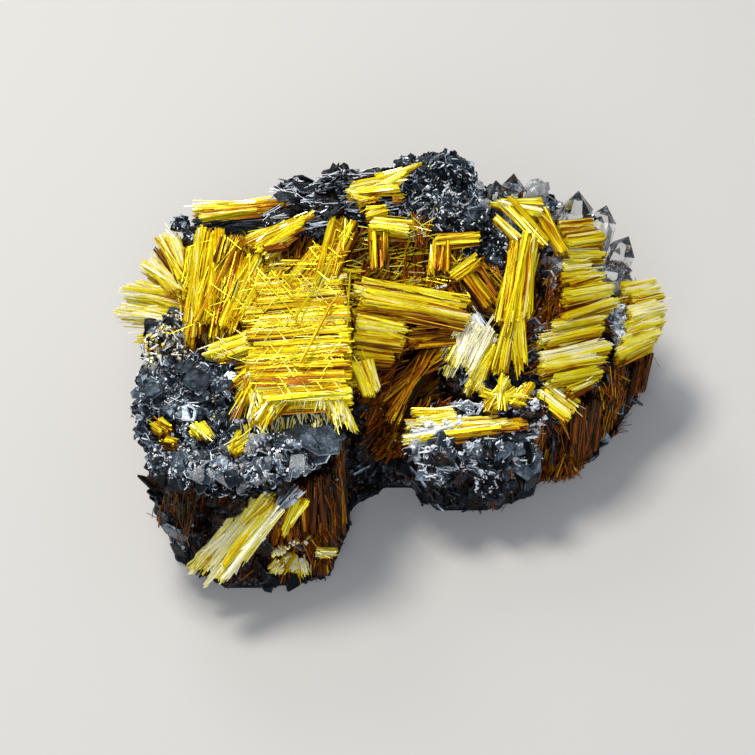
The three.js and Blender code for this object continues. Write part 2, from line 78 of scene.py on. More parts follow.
def add_node(tree, kind, inputs=None, **settings):
    """Adds a node with its settings. An input takes a value, or a link from another socket."""
    made = tree.nodes.new(kind)
    for name, value in settings.items():
        setattr(made, name, value)
    for name, value in (inputs or {}).items():
        if isinstance(value, bpy.types.NodeSocket):
            tree.links.new(value, made.inputs[name])
        else:
            made.inputs[name].default_value = value
    return made


def new_material(name):
    """An empty material with nodes: returns it, its tree and its output node."""
    material = bpy.data.materials.new(name)
    material.use_nodes = True
    tree = material.node_tree
    tree.nodes.clear()
    return material, tree, tree.nodes.new("ShaderNodeOutputMaterial")


def set_stops(band, stops):
    """Gives a colour ramp its (position, colour) stops."""
    while len(band.elements) > 1:
        band.elements.remove(band.elements[0])
    band.elements[0].position, band.elements[0].color = stops[0][0], linear(stops[0][1])
    for position, colour in stops[1:]:
        band.elements.new(position).color = linear(colour)


# ---- Settings -------------------------------------------------------------------------

LENGTH = {"subtype": "DISTANCE", "unit": "LENGTH"}
ANGLE = {"subtype": "ANGLE", "unit": "ROTATION"}


class RutileSettings(bpy.types.PropertyGroup):
    """Sizes and finish of the rutile needles."""
    pitch: FloatProperty(
        name="Needle pitch", description="Sets how many needles a sheaf has and how wide they are",
        default=0.14 * MM, min=0.1 * MM, max=0.6 * MM, **LENGTH)
    splay: FloatProperty(
        name="Splay", description="How far single needles lean out of their sheaf",
        default=math.radians(1.8), **ANGLE)
    strays: FloatProperty(
        name="Strays", description="Share of the needles that lie loose on their sheaf",
        default=0.07, min=0, max=0.5)
    striation: FloatProperty(
        name="Striation spacing", description="Spacing of the fine lines along a needle",
        default=0.11 * MM, **LENGTH)
    roughness: FloatProperty(
        name="Roughness", description="Roughness of needle faces", default=0.34, min=0, max=1)


class HematiteSettings(bpy.types.PropertyGroup):
    """Sizes and finish of the hematite matrix."""
    detail: FloatProperty(
        name="Relief detail", description="Edge length of the faces that carry the relief",
        default=0.3 * MM, min=0.2 * MM, max=1.0 * MM, **LENGTH)
    plate_size: FloatProperty(
        name="Plate size", description="Size of the broken plates in the surface",
        default=1.7 * MM, **LENGTH)
    relief: FloatProperty(
        name="Relief", description="How far plates step up and down", default=0.42 * MM, **LENGTH)
    glint_size: FloatProperty(
        name="Glint size", description="Size of one glittering facet", default=0.24 * MM, **LENGTH)


class QuartzSettings(bpy.types.PropertyGroup):
    """Finish of the quartz."""
    ior: FloatProperty(name="IOR", description="Refractive index of quartz", default=1.544)
    haze: FloatProperty(
        name="Haze", description="Roughness of the crystal faces", default=0.06, min=0, max=1)


class StageSettings(bpy.types.PropertyGroup):
    """Floor, camera and lights."""
    lens: FloatProperty(
        name="Lens", description="Focal length", default=119.3, subtype="DISTANCE_CAMERA")
    distance: FloatProperty(
        name="Distance", description="Camera to the point it looks at",
        default=267.7 * MM, **LENGTH)
    elevation: FloatProperty(
        name="Elevation", description="Camera height above the floor as an angle",
        default=math.radians(48), **ANGLE)
    floor: FloatVectorProperty(
        name="Floor", description="Colour of the floor", subtype="COLOR",
        default=linear("#BDBCBA")[:3])


# ---- Mesh code ------------------------------------------------------------------------

def to_metres(points):
    """Table millimetres to metres in the part's own frame."""
    return (np.asarray(points, float).reshape(-1, 3) - MIDDLE) * MM


def to_table(points):
    """Metres in the part's own frame to table millimetres."""
    return points / MM + MIDDLE


def unit(vectors):
    """Rows scaled to length 1."""
    return vectors / np.maximum(np.linalg.norm(vectors, axis=-1, keepdims=True), 1e-9)


def columns(rows):
    """The columns of a list of rows, each as an array."""
    return [np.array(column, float) for column in zip(*rows)]


def above_floor(corners):
    """Vertices of many like pieces from one array for each corner, none under the floor."""
    verts = np.stack(corners, axis=1).reshape(-1, 3)
    verts[:, 2] = np.maximum(verts[:, 2], FLOOR_GAP)
    return verts


def repeated(faces, count, corners):
    """The faces of one piece with so many corners, repeated for count pieces."""
    return (np.arange(count)[:, None, None] * corners + faces[None]).reshape(-1, faces.shape[1])


def two_tones(first, last, corners):
    """A tone for each vertex: one for the first corners of a piece, another for the last."""
    return np.repeat(np.stack([first, last], axis=1), corners, axis=1).ravel()


def fill_mesh(verts, faces, values=None, grain=None, smooth=False):
    """
    A mesh from vertices in metres and faces with equal numbers of sides. values holds
    named numbers per vertex, and grain a map per face corner.
    """
    mesh = bpy.data.meshes.new("piece")
    faces = np.asarray(faces, np.int32)
    count, sides = faces.shape
    mesh.vertices.add(len(verts))
    mesh.vertices.foreach_set("co", np.asarray(verts, np.float32).ravel())
    mesh.loops.add(count * sides)
    mesh.loops.foreach_set("vertex_index", faces.ravel())
    mesh.polygons.add(count)
    mesh.polygons.foreach_set("loop_start", np.arange(0, count * sides, sides, dtype=np.int32))
    mesh.polygons.foreach_set("use_smooth", np.full(count, smooth))
    mesh.update(calc_edges=True)
    for key, value in (values or {}).items():
        layer = mesh.attributes.new(key, "FLOAT", "POINT")
        layer.data.foreach_set("value", np.asarray(value, np.float32))
    if grain is not None:
        layer = mesh.uv_layers.new(name="grain")
        layer.data.foreach_set("uv", np.asarray(grain, np.float32).ravel())
    return mesh


def show(name, mesh, material, slot, *nodes):
    """Puts a mesh in the scene as a piece that rides on the root and stands for some nodes."""
    mesh.name = name
    piece = bpy.data.objects.new(name, mesh)
    bpy.context.scene.collection.objects.link(piece)
    mesh.materials.append(material)
    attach(piece, "root")
    if nodes:
        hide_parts(*nodes)


NEEDLE_CORNERS = (1.0, -0.6), (-1.0, -0.6), (0.1, 1.0)
NEEDLE_FACES = np.array([
    (0, 1, 4), (0, 4, 3), (1, 2, 5), (1, 5, 4), (2, 0, 3), (2, 3, 5), (2, 1, 0), (3, 4, 5)])
GRAIN_STRIP = 3.7   # millimetres of the grain map from one needle to the next


def needle_mesh(needles):
    """
    One mesh of three-sided needles. A needle is (root, tip, across, half width, half
    thickness, taper, slant, tone at the root, tone at the tip), lengths in millimetres.
    """
    roots, tips, across, *rest = columns(needles)
    half_w, half_t, taper, slant = (column[:, None] for column in rest[:4])
    along = unit(tips - roots)
    across = unit(across - along * np.sum(across * along, axis=1, keepdims=True))
    out = np.cross(along, across)
    corners = []
    for centre, scale, lean in ((roots, 1.0, -slant), (tips, taper, slant)):
        for a, b in NEEDLE_CORNERS:
            corners.append(centre + across * (a * half_w * scale) + out * (b * half_t * scale)
                           + along * (lean * a * half_w))
    faces = repeated(NEEDLE_FACES, len(needles), 6)

    # The grain map: millimetres across and along the needle, each needle on its own strip.
    strip = np.arange(len(needles))[:, None] * GRAIN_STRIP + np.arange(3) * 2 * half_w
    length = np.repeat(np.linalg.norm(tips - roots, axis=1)[:, None], 3, 1)
    grain = np.stack([np.concatenate([strip, strip], axis=1),
                      np.concatenate([length * 0, length], axis=1)], axis=2).reshape(-1, 2)
    return fill_mesh(to_metres(above_floor(corners)), faces, {"tone": two_tones(*rest[4:], 3)},
                     grain[faces])


PLATE_FACES = np.array([
    *[(i, (i + 1) % 6, (i + 1) % 6 + 6, i + 6) for i in range(6)],
    (3, 2, 1, 0), (5, 4, 3, 0), (6, 7, 8, 9), (6, 9, 10, 11)])
BEVEL = 0.13   # widest bevel of a plate's rim, in millimetres


def plate_mesh(plates):
    """
    One mesh of six-sided plates with a bevelled rim. A plate is (centre, outward direction,
    radius, thickness, turn, tone, what the tone gains at the rim as a painted glint, six shares
    of the radius), lengths in millimetres.
    """
    centres, facing, radius, thick, turn, tone, rim, shares = columns(plates)
    facing = unit(facing)
    helper = np.where(np.abs(facing[:, 2:]) < 0.9, [[0.0, 0.0, 1.0]], [[1.0, 0.0, 0.0]])
    right = unit(np.cross(helper, facing))
    ahead = np.cross(facing, right)
    corners = []
    for level, inset in ((-0.5, radius * 0), (0.5, np.minimum(radius * 0.3, BEVEL))):
        for i in range(6):
            angle = turn + i * math.pi / 3
            reach = (radius * shares[:, i] - inset)[:, None]
            corners.append(centres + right * np.cos(angle)[:, None] * reach
                           + ahead * np.sin(angle)[:, None] * reach
                           + facing * (thick * level)[:, None])
    # The lower ring, at the full radius, takes the rim's tone: a painted glint along the edge.
    return fill_mesh(to_metres(above_floor(corners)), repeated(PLATE_FACES, len(plates), 12),
                     {"tone": two_tones(tone + rim, tone, 6)})


# ---- Where things lie on the matrix ---------------------------------------------------

BODY = {}             # points and normals of the finished matrix and its crusts, in millimetres
FACES_ZONE = 0.45     # least cosine between a surface and the way that its zone looks
OUTER_WALL = 2        # least distance from the middle to the plane of an outer wall
GROWN_PATCHES = 0.22  # a millimetre, so fibres grow in patches 4.5 mm wide
SEAT_REACH = 0.3      # square of the plan distance within which a seat is looked for


class Plates(NamedTuple):
    """Plates or crumbs in one zone of the matrix, in millimetres."""
    centre: tuple        # of an egg that holds them
    reach: tuple         # of that egg, each way
    facing: tuple        # the way that the surface looks there
    count: int
    radius: tuple        # least and most
    thick: float
    lean: float          # out of the surface: 0 flat, 1 and more nearly any way
    tone: float
    rim: float = 0.0     # most that the tone gains at the rim, as a painted glint
    lift: float = 0.0    # how high the uppermost lie


class Needles(NamedTuple):
    """Loose needles in one zone of the matrix, in millimetres."""
    centre: tuple
    reach: tuple
    facing: tuple
    count: int
    run: tuple                       # the way that they run
    stray: float                     # how far they stray from it, in degrees
    length: tuple                    # least and most
    half_width: float
    tone: float
    lift: float                      # how high the uppermost lie
    patchy: Optional[float] = None   # they grow only where the patches' noise is above this


class Crystals(NamedTuple):
    """Small quartz crystals in one zone of the matrix, in millimetres."""
    centre: tuple
    reach: tuple
    facing: tuple
    count: int
    radius: tuple   # least and most half width
    lean: float


def in_egg(points, centre, reach):
    """How far out in an egg points lie, squared: 0 at its centre, 1 on its surface."""
    return np.sum(((points - np.array(centre)) / np.array(reach)) ** 2, axis=1)


def spots_on_body(zone, dice):
    """Places on the matrix inside a zone's egg that face its way, as (point, normal)."""
    points, normals = BODY["points"], BODY["normals"]
    inside = in_egg(points, zone.centre, zone.reach) < 1
    facing = normals @ np.array(Vector(zone.facing).normalized()) > FACES_ZONE
    if zone.facing[2] == 0:   # outer walls only, not those of the cavity
        facing &= np.sum((points - MIDDLE)[:, :2] * normals[:, :2], axis=1) > OUTER_WALL
    found = np.nonzero(inside & facing)[0]
    patchy = getattr(zone, "patchy", None)
    if patchy is not None:
        found = [i for i in found if noise.noise(Vector(points[i]) * GROWN_PATCHES) > patchy]
    if len(found) == 0:
        raise RuntimeError("no part of the matrix lies in the zone round %s" % (zone.centre,))
    chosen = [found[dice.randrange(len(found))] for _ in range(zone.count)]
    return [(Vector(points[i]), Vector(normals[i])) for i in chosen]


def seat(x, y):
    """The highest place on the matrix near a plan position, as (point, normal)."""
    points = BODY["points"]
    near = np.nonzero(np.sum((points[:, :2] - (x, y)) ** 2, axis=1) < SEAT_REACH)[0]
    if len(near) == 0:
        raise RuntimeError("no part of the matrix lies at %s, %s" % (x, y))
    top = near[np.argmax(points[near, 2])]
    return Vector(points[top]), Vector(BODY["normals"][top])


def leaning(normal, lean, dice):
    """A direction that leans out of the normal by chance."""
    throw = Vector((dice.gauss(0, 1), dice.gauss(0, 1), dice.gauss(0, 1)))
    return (normal + throw * lean * 0.6).normalized()


def plates_in(zone, dice):
    """Rows for plate_mesh: plates that stand on the matrix in one zone."""
    plates = []
    for point, normal in spots_on_body(zone, dice):
        facing = leaning(normal, zone.lean, dice)
        radius = zone.radius[0] + (zone.radius[1] - zone.radius[0]) * dice.random() ** 2
        sink = radius * 0.35 * (1 - abs(facing.dot(normal)))   # the steepest are sunk deepest
        shares = [dice.uniform(0.5, 1.1) for _ in range(6)]
        point += Vector(UP) * zone.lift * dice.random()
        plates.append((point - normal * sink, facing, radius, zone.thick * dice.uniform(0.7, 1.5),
                       dice.uniform(0, 1), zone.tone + dice.gauss(0, 0.16),
                       zone.rim * dice.random(), shares))
    return plates


def loose_needles(zone, dice):
    """Rows for needle_mesh: needles that lie on the matrix in one zone."""
    needles = []
    for point, normal in spots_on_body(zone, dice):
        turn = math.radians(dice.gauss(0, zone.stray))
        run = Vector(zone.run)
        run -= normal * run.dot(normal)
        run.normalize()
        across = normal.cross(run)
        run = run * math.cos(turn) + across * math.sin(turn) + normal * dice.gauss(0, 0.04)
        length = dice.uniform(*zone.length)
        height = zone.lift * dice.random() ** 1.5
        middle = point + normal * height
        half_width = zone.half_width * dice.uniform(0.5, 1.3)
        # On rutile, needles that lie lower, nearer the matrix, come out darker: painted shade.
        tone = needle_shade(zone.tone, dice) - 0.2 * height
        needles.append(one_needle(middle - run * length / 2, middle + run * length / 2, across,
                                  half_width, tone, (0.0, 0.0), dice))
    return needles


def gather(make, rows, dice):
    """What make gives for each row of a table, in one list."""
    return [made for row in rows for made in make(row, dice)]


def scatter(table, seed, make, build, material, slot=None):
    """Shows each piece of a table of zones: make gives its rows, and build makes its mesh."""
    for number, (name, zones) in enumerate(table.items()):
        rows = gather(make, zones, random.Random(seed + number))
        show(name, build(rows), material, slot or rutile_slot(name))


# ---- Rutile ---------------------------------------------------------------------------

# Tones of rutile, from the palest needles to the red-brown wall fibres, partly painted shade.
CREAM, LEMON, GOLD, RUST_AND_SHADE = 0.04, 0.2, 0.34, 0.76
STRAND_WIDTH = 0.55              # of the strands that a sheaf is made of, in millimetres
TWIN_ANGLE = 60                  # degrees at which twinned rutile needles cross, about
FRAYED_SPLAY = math.radians(7)   # what full fraying adds to the splay
COLOUR_PATCHES = 0.42            # a millimetre, so 2.4 mm wide

# Shares of the needles that are darker than their sheaf, brighter than it, and wider than most.
DARK_SHARE, BRIGHT_SHARE, WIDE_SHARE = 0.2, 0.14, 0.25


class Sheaf(NamedTuple):
    """One sheaf of parallel needles, in millimetres."""
    start: tuple              # middle of its upper face at the root
    end: tuple                # and at the tip
    width: tuple              # at the root and at the tip
    thick: float
    strands: int              # it has at least one more; 0 is for lone needles of one tone
    tone: float
    face: tuple = UP          # the way that its broad side looks
    ends: tuple = (0.0, 0.0)  # what the tone gains at the root and at the tip
    twin: float = 0.0         # share of its loose needles that cross it as twins
    fray: float = 0.0         # how frayed it is, from 0 to 1


# Sheaf tones are partly the rutile's own colour and partly painted light: the east sheaves,
# front_tuft and cavity_wedge are paler to stand in for light, and diagonal_bar is redder as painted
# shade.
SHEAVES = {
    "crest_lance": [
        Sheaf([-4.6, 17, 22.7], [0.8, 17.9, 23.4], (1.6, 2.4), 1.3, 3, 0.14),
        Sheaf([-1.2, 17.7, 23.2], [3.1, 19.6, 24], (2.4, 0.1), 1, 3, 0.12),
        Sheaf([-4.2, 16.4, 22.6], [-2, 16, 22.6], (0.5, 0.9), 0.7, 1, 0.1, fray=0.5),
    ],
    "crest_nuggets": [
        Sheaf([-3.4, 15.8, 22.3], [-0.8, 16.4, 22.5], (1.2, 1), 1.4, 2, 0.3, fray=0.4),
        Sheaf([-2.8, 14.6, 22], [0.2, 15.1, 22.2], (0.8, 1), 1.4, 2, 0.26, fray=0.4),
        Sheaf([0.2, 16.5, 22.3], [1.5, 16.2, 22.4], (0.8, 0.5), 1, 1, 0.36, fray=0.4),
    ],
    "northwest_bar": [
        Sheaf([-9, 17.3, 21.2], [-21, 17.1, 19.4], (0.7, 2.3), 1.6, 3, LEMON, ends=(0.1, -0.14)),
    ],
    "northwest_blade": [Sheaf([-7.6, 15, 21.6], [-14.4, 11.5, 19.7], (0.4, 4.4), 1.3, 5, 0.2)],
    "west_fan": [
        Sheaf([-19.8, 6, 15.9], [-28.6, 11.8, 11.2], (1.7, 2), 1.8, 2, -0.06, ends=(0.2, -0.04),
              fray=0.14),
        Sheaf([-20, 7.4, 16.3], [-27.4, 14.4, 12.2], (1.7, 2.2), 2, 2, -0.02, ends=(0.2, -0.1),
              fray=0.14),
        Sheaf([-20.2, 8.6, 16.7], [-25.8, 16.9, 13.2], (1.8, 2.2), 2, 2, 0.06, ends=(0.16, -0.1),
              fray=0.14),
        Sheaf([-20.6, 9.6, 17.1], [-23.6, 19.4, 15], (1.8, 2), 2, 2, 0.08, ends=(0.1, -0.1),
              fray=0.14),
        Sheaf([-21.2, 5.4, 14.8], [-26.4, 7.8, 11], (1.5, 1.3), 1.4, 2, 0.12, ends=(0.2, -0.1),
              fray=0.2),
    ],
    "east_column": [
        Sheaf([13.5, 12.7, 21.2], [12, 2.6, 16.2], (3, 2.8), 2.2, 4, 0.24),
        Sheaf([12.1, 5, 17.2], [10.5, -1.2, 13.4], (1.5, 1.2), 1.4, 2, 0.24),
        Sheaf([12.9, 5, 17.2], [12.7, -0.8, 13.9], (1.4, 1.1), 1.4, 2, 0.26),
        Sheaf([13, 11.8, 21], [10.2, 14.9, 21.6], (0.9, 0.7), 0.7, 1, LEMON),
    ],
    "centre_bar": [
        Sheaf([-3.7, 7.2, 18.8], [9.2, 5.6, 16.7], (3.6, 2.8), 2.2, 6, 0.28),
        Sheaf([-3.7, 4.9, 17.5], [1.6, 4.6, 16.5], (3, 2.8), 1.8, 2, 0.42),
        Sheaf([1.2, 3.8, 14.5], [8.6, 5.2, 14.3], (2.2, 2.6), 0.6, 3, 0.4, fray=0.2),
        Sheaf([-3.7, 2.6, 18.1], [1.9, 2.5, 16.7], (3, 2.5), 2, 4, 0.28),
        Sheaf([-3.6, 0.6, 16.8], [0.6, 0.8, 15.6], (3, 2.6), 1.8, 3, 0.38),
    ],
    "north_posts": [
        Sheaf([-2.2, 13.9, 21.4], [2.4, 13.5, 21.1], (1.9, 1.7), 1.6, 3, 0.28),
        Sheaf([-1.8, 13.6, 21], [-1.7, 8.8, 19], (0.7, 0.6), 1, 1, 0.3),
        Sheaf([-0.6, 13.6, 21], [-0.5, 9, 19.1], (0.7, 0.6), 1, 1, GOLD),
        Sheaf([-1.2, 12.4, 20.2], [-1.2, 9.6, 18.6], (1.8, 1.8), 0.8, 2, 0.62),
    ],
    "lattice_mat": [
        Sheaf([-18.2, 15.4, 19.2], [-20, 0.9, 16.6], (2.4, 2), 2.2, 3, 0.36, twin=0.3, fray=0.1),
        Sheaf([-15.9, 14.8, 19.7], [-18.5, 1.5, 17.2], (2.2, 2.2), 2.2, 3, 0.32, twin=0.3,
              fray=0.1),
        Sheaf([-13.8, 11.2, 19.3], [-16.8, 1.4, 17.8], (2.4, 2.2), 2.2, 3, 0.34, twin=0.5,
              fray=0.1),
        Sheaf([-11.8, 8.9, 19.4], [-14.8, 2, 18.4], (2.4, 2), 2, 2, 0.28, twin=0.6, fray=0.1),
        Sheaf([-20, 13.6, 18.2], [-20.8, 8, 16.6], (1.4, 1.2), 1.2, 2, 0.24, fray=0.3),
        Sheaf([-4.4, 5.9, 20.1], [-13.6, 5.5, 19.5], (4.4, 4.2), 2.8, 4, 0.29, twin=0.6),
        Sheaf([-4.2, 1.6, 19.7], [-14.4, 1.4, 18.9], (4.8, 4.8), 2.8, 4, 0.27, twin=0.6),
        Sheaf([-3.9, -2.9, 19.3], [-14.2, -2.8, 18.6], (4.8, 4.6), 2.8, 4, 0.29, twin=0.6),
        Sheaf([-3.9, -6, 18.9], [-13.2, -6, 18.4], (2.6, 2.6), 2.4, 2, 0.29, twin=0.6),
        Sheaf([-13, 0.9, 18.3], [-19.2, -0.1, 16.4], (2.2, 1.6), 1.6, 3, 0.14, twin=0.6),
        Sheaf([-4.4, 14.8, 21.2], [-6.9, 5.8, 20.2], (2.2, 2.6), 2.2, 3, 0.36, twin=0.6),
        Sheaf([-6.4, 11.2, 20.5], [-9.9, 5.8, 19.9], (2.2, 2.8), 2, 3, 0.34, twin=0.6),
        Sheaf([-11.4, -6.3, 18.1], [-13.2, -9.4, 16.5], (2.4, 3.4), 0.9, 4, 0.1, fray=1),
        Sheaf([-8.4, -6.3, 18.2], [-8.7, -7.8, 17.2], (4.4, 4.8), 0.9, 6, 0.04, fray=0.9),
        Sheaf([-5.4, -6.4, 18.2], [-4.6, -10.8, 16.4], (2, 1.5), 0.9, 3, 0.04, fray=0.8),
        Sheaf([-16.9, 13, 20.2], [-17.8, 9, 19.3], (0.8, 0.5), 0.3, 1, 0.56),
        Sheaf([-12.9, 10.9, 20.2], [-10.4, 11.6, 20.3], (1, 1.2), 0.3, 1, 0.58),
        Sheaf([-15.2, 7.6, 19.5], [-16.1, 4.4, 18.9], (0.5, 0.3), 0.2, 1, 0.52),
        Sheaf([-13.2, -4.6, 18.2], [-15.2, -8.2, 16.3], (2, 1.4), 1.4, 2, 0.26, fray=0.7),
        Sheaf([-13.6, -3.2, 18], [-16.4, -5, 16.6], (1.2, 0.8), 1, 1, GOLD, fray=0.6),
        Sheaf([-13.3, 7.6, 20.5], [-8, -0.4, 20.2], (0.1, 0.1), 0.1, 0, 0.16),
        Sheaf([-12.2, 7.9, 20.5], [-9, 3.4, 20.3], (0.1, 0.1), 0.1, 0, 0.16),
        Sheaf([-5.4, 4, 20.5], [-9.2, -5, 19.8], (0.1, 0.1), 0.1, 0, 0.16),
        Sheaf([-6.6, 6.8, 20.7], [-10.4, 0.4, 20.2], (0.1, 0.1), 0.1, 0, 0.16),
        Sheaf([-4.3, 7.4, 20.6], [-4.1, -3, 20], (0.2, 0.1), 0.2, 0, 0.2),
    ],
    "mat_nub": [Sheaf([-3, -2.2, 18.2], [-1.4, -5.8, 16.2], (2.2, 1.6), 1.6, 3, LEMON)],
    "diagonal_bar": [Sheaf([5, 4.6, 13.4], [-1.8, -4.6, 12], (2.2, 2.4), 1.8, 3, 0.62, fray=0.3)],
    "cavity_wedge": [
        Sheaf([8.6, 5, 15.2], [5.4, 1.5, 10.2], (3.9, 3.4), 1.8, 4, -0.06, ends=(-0.2, 0.25),
              fray=0.3),
        Sheaf([9.4, 4.9, 15.9], [6.4, 0.4, 12.8], (2.6, 3), 1.2, 4, -0.16, (0, -0.4, 0.9),
              ends=(-0.2, 0.25), fray=0.3),
        Sheaf([8, 5.2, 15.4], [5.2, 2.4, 12.6], (1.4, 1.8), 0.9, 3, -0.12, (0, -0.4, 0.9),
              ends=(-0.2, 0.3), fray=0.6),
        Sheaf([10.2, 3.6, 14.6], [7.6, -1.4, 11.6], (1.8, 1.5), 1.4, 2, 0.2, fray=0.3),
    ],
    "north_bundle_west": [
        Sheaf([5.2, 13.4, 19.4], [4.8, 9.2, 17.9], (1.9, 1.7), 1.6, 3, 0.44),
        Sheaf([4.4, 13.1, 19.5], [9.4, 13.5, 19.6], (1.2, 1), 1.2, 2, 0.34),
    ],
    "north_bundle_east": [
        Sheaf([9, 10.9, 18.8], [5.8, 8.9, 18], (1.4, 1.1), 1.3, 2, 0.36),
        Sheaf([7.7, 10.4, 18.3], [10.8, 6.6, 16.6], (2.2, 2.2), 1.6, 3, 0.46),
    ],
    "northeast_bars": [
        Sheaf([15.7, 16.7, 20.7], [10.2, 17, 21.1], (1.6, 0.9), 1.2, 2, 0.1),
        Sheaf([12, 17, 21.4], [15.9, 11.8, 19.9], (1.3, 1.2), 1.1, 2, LEMON),
        Sheaf([15.4, 16.4, 20.6], [18.2, 11.2, 18.4], (1.3, 1), 1.1, 2, 0.28),
    ],
    "northeast_block": [
        Sheaf([17.6, 15.2, 18.3], [22, 17, 17.2], (3.6, 3.2), 2, 4, 0.3),
        Sheaf([18, 13.2, 17.6], [22.4, 14.6, 16.2], (1.5, 1.3), 1.3, 2, LEMON),
    ],
    "east_sheaf_upper": [
        Sheaf([17.8, 11.4, 17.6], [20.9, 12.9, 16.5], (1.3, 0.9), 1.6, 1, 0.16),
        Sheaf([17.6, 9.6, 17.3], [22.3, 12.2, 15.9], (1.7, 1.4), 2, 2, 0.24, ends=(0.08, -0.1)),
        Sheaf([17.6, 7.7, 16.9], [23, 10.5, 15.4], (1.7, 1.5), 2, 2, 0.18, ends=(0.1, -0.06)),
    ],
    "east_sheaf_middle": [
        Sheaf([17.4, 5.4, 16.4], [24, 9.2, 15], (1, 0.8), 1.4, 1, 0.02, ends=(0.1, 0)),
        Sheaf([16.2, 4.4, 16.1], [22, 7, 14.9], (1.1, 0.9), 1.4, 1, 0.1),
        Sheaf([14.9, 2.9, 15.8], [22.3, 6, 14.5], (1.4, 1.2), 1.8, 2, 0.08, ends=(-0.06, 0.06)),
    ],
    "east_sheaf_lower": [
        Sheaf([14.7, 0.8, 15.1], [22.6, 4.2, 13.9], (1.1, 1), 1.6, 1, 0.04),
        Sheaf([15, -0.5, 14.8], [22.2, 2.7, 13.6], (1.3, 1.1), 1.6, 2, 0.18, ends=(0.06, -0.1)),
        Sheaf([16, -1.6, 14.4], [21.8, 1.2, 13.2], (0.9, 0.8), 1.4, 1, 0.08),
        Sheaf([17.6, -2.3, 13.9], [20.9, 0, 12.9], (0.8, 0.7), 1.2, 1, 0.18),
    ],
    "east_rim": [
        Sheaf([24.4, 11.4, 13.4], [28.2, 13.2, 12.5], (2.6, 2.4), 2.4, 3, 0.08, ends=(0.1, -0.04)),
        Sheaf([24.6, 9.1, 12.9], [28.5, 11.3, 12.2], (1.8, 1.6), 2.2, 1, -0.04, ends=(0.1, 0)),
        Sheaf([24, 7, 12.7], [28.4, 9.8, 12], (1.5, 1.3), 2.2, 1, 0.02, ends=(0.1, 0)),
        Sheaf([23.4, 5.5, 12.4], [28, 8.5, 11.8], (1.2, 1.1), 2, 1, -0.04, ends=(0.1, 0)),
        Sheaf([22.8, 4.2, 12.1], [27.2, 7, 11.5], (1.1, 1), 2, 1, 0.06, ends=(0.1, 0)),
    ],
    "southeast_tuft": [Sheaf([15.2, -1.4, 13.3], [18.7, -3.6, 11.6], (2.6, 2.8), 1.4, 3, 0.06)],
    "south_star": [
        Sheaf([9.4, -4.2, 13], [12, -1.4, 13.9], (1.6, 1.8), 1.2, 3, 0.2, fray=0.3),
        Sheaf([12, -3.6, 12.9], [13.9, -1.4, 13.9], (1, 1.2), 1.1, 2, 0.24, fray=0.4),
        Sheaf([11.4, -3.4, 13.4], [9, -1.8, 13.6], (0.8, 1.2), 0.9, 2, 0.16, fray=0.5),
        Sheaf([11.2, -2.8, 13.6], [14.2, -3.4, 13.6], (0.7, 1), 0.8, 1, 0.22, fray=0.5),
        Sheaf([11.2, -2.4, 13.9], [10.9, -4.9, 13.2], (0.7, 1.1), 0.8, 1, 0.18, fray=0.5),
        Sheaf([10.8, -3, 13.8], [11.5, -0.8, 14.6], (0.6, 0.9), 0.6, 1, 0.12, fray=0.5),
    ],
    "south_lip_bar": [
        Sheaf([13.6, -4.7, 12.1], [1.2, -5.8, 11.4], (1.5, 2.7), 1.8, 4, 0.3, ends=(0, -0.2)),
        Sheaf([6.8, -3.5, 12], [2.2, -4, 11.7], (1.4, 1.8), 1.6, 2, 0.16),
    ],
    "front_tuft": [
        Sheaf([-12.4, -15.3, 13.4], [-20.6, -17.5, 1.7], (2.8, 1), 1.9, 3, -0.06,
              (-0.5, -0.6, 0.6)),
        Sheaf([-11.6, -15.5, 12.8], [-18.8, -19.2, 3.6], (2.8, 1), 1.8, 3, -0.1, (-0.4, -0.7, 0.6)),
        Sheaf([-10.8, -15.7, 12.2], [-17.5, -21.2, 6.2], (2, 0.8), 1.6, 2, -0.08,
              (-0.2, -0.7, 0.7)),
    ],
    "front_low_tuft": [
        Sheaf([-9, -15.9, 4.4], [-9.8, -17.6, 4.8], (1.3, 1.5), 1.2, 2, CREAM, (0.8, 0, 0.6),
              fray=0.6),
        Sheaf([-8.2, -15.9, 3.9], [-8, -17.6, 3.7], (1.2, 1.4), 1.2, 2, -0.02, (0.8, 0, 0.6),
              fray=0.6),
        Sheaf([-10.4, -16.2, 3.6], [-11.2, -17.4, 3], (1, 1.2), 1, 2, 0.02, (0.8, 0, 0.6),
              fray=0.6),
        Sheaf([-7.6, -16.2, 4.8], [-5.2, -16.5, 5.2], (0.8, 1), 0.8, 2, 0.06, (0, -0.8, 0.6),
              fray=0.6),
    ],
    "front_blade": [
        Sheaf([-8.4, -15.2, 12.2], [-10.5, -17.3, 8.6], (1.4, 0.7), 1, 2, 0.1, (0.2, -1, 0.3)),
    ],
    "lobe_tuft_west": [
        Sheaf([-23, -8.2, 16], [-21.6, -9.9, 16.3], (1.4, 1.5), 1.1, 2, 0.34, fray=0.6),
        Sheaf([-22, -10.6, 15.9], [-20.6, -11.4, 16.3], (1.2, 1.1), 1.1, 2, 0.28, fray=0.6),
    ],
    "lobe_tuft_middle": [
        Sheaf([-18.8, -8.9, 16.4], [-17.3, -10.8, 16.2], (1.6, 1.2), 1.2, 2, 0.12, fray=0.6),
    ],
    "lobe_tuft_east": [
        Sheaf([-15.6, -12.2, 16.2], [-13.6, -10.4, 16.6], (1.2, 1.7), 1.2, 2, 0.14, fray=0.6),
        Sheaf([-14.2, -11.4, 16.2], [-13.2, -12.6, 15.9], (0.9, 0.7), 0.9, 1, 0.28, fray=0.6),
    ],
    "lobe_corner_fibres": [
        Sheaf([-7.2, -14, 13.6], [-7, -15, 6.4], (3, 3.4), 1.6, 4, RUST_AND_SHADE, (0.5, -0.85, 0)),
    ],
    "lobe_side_fibres": [
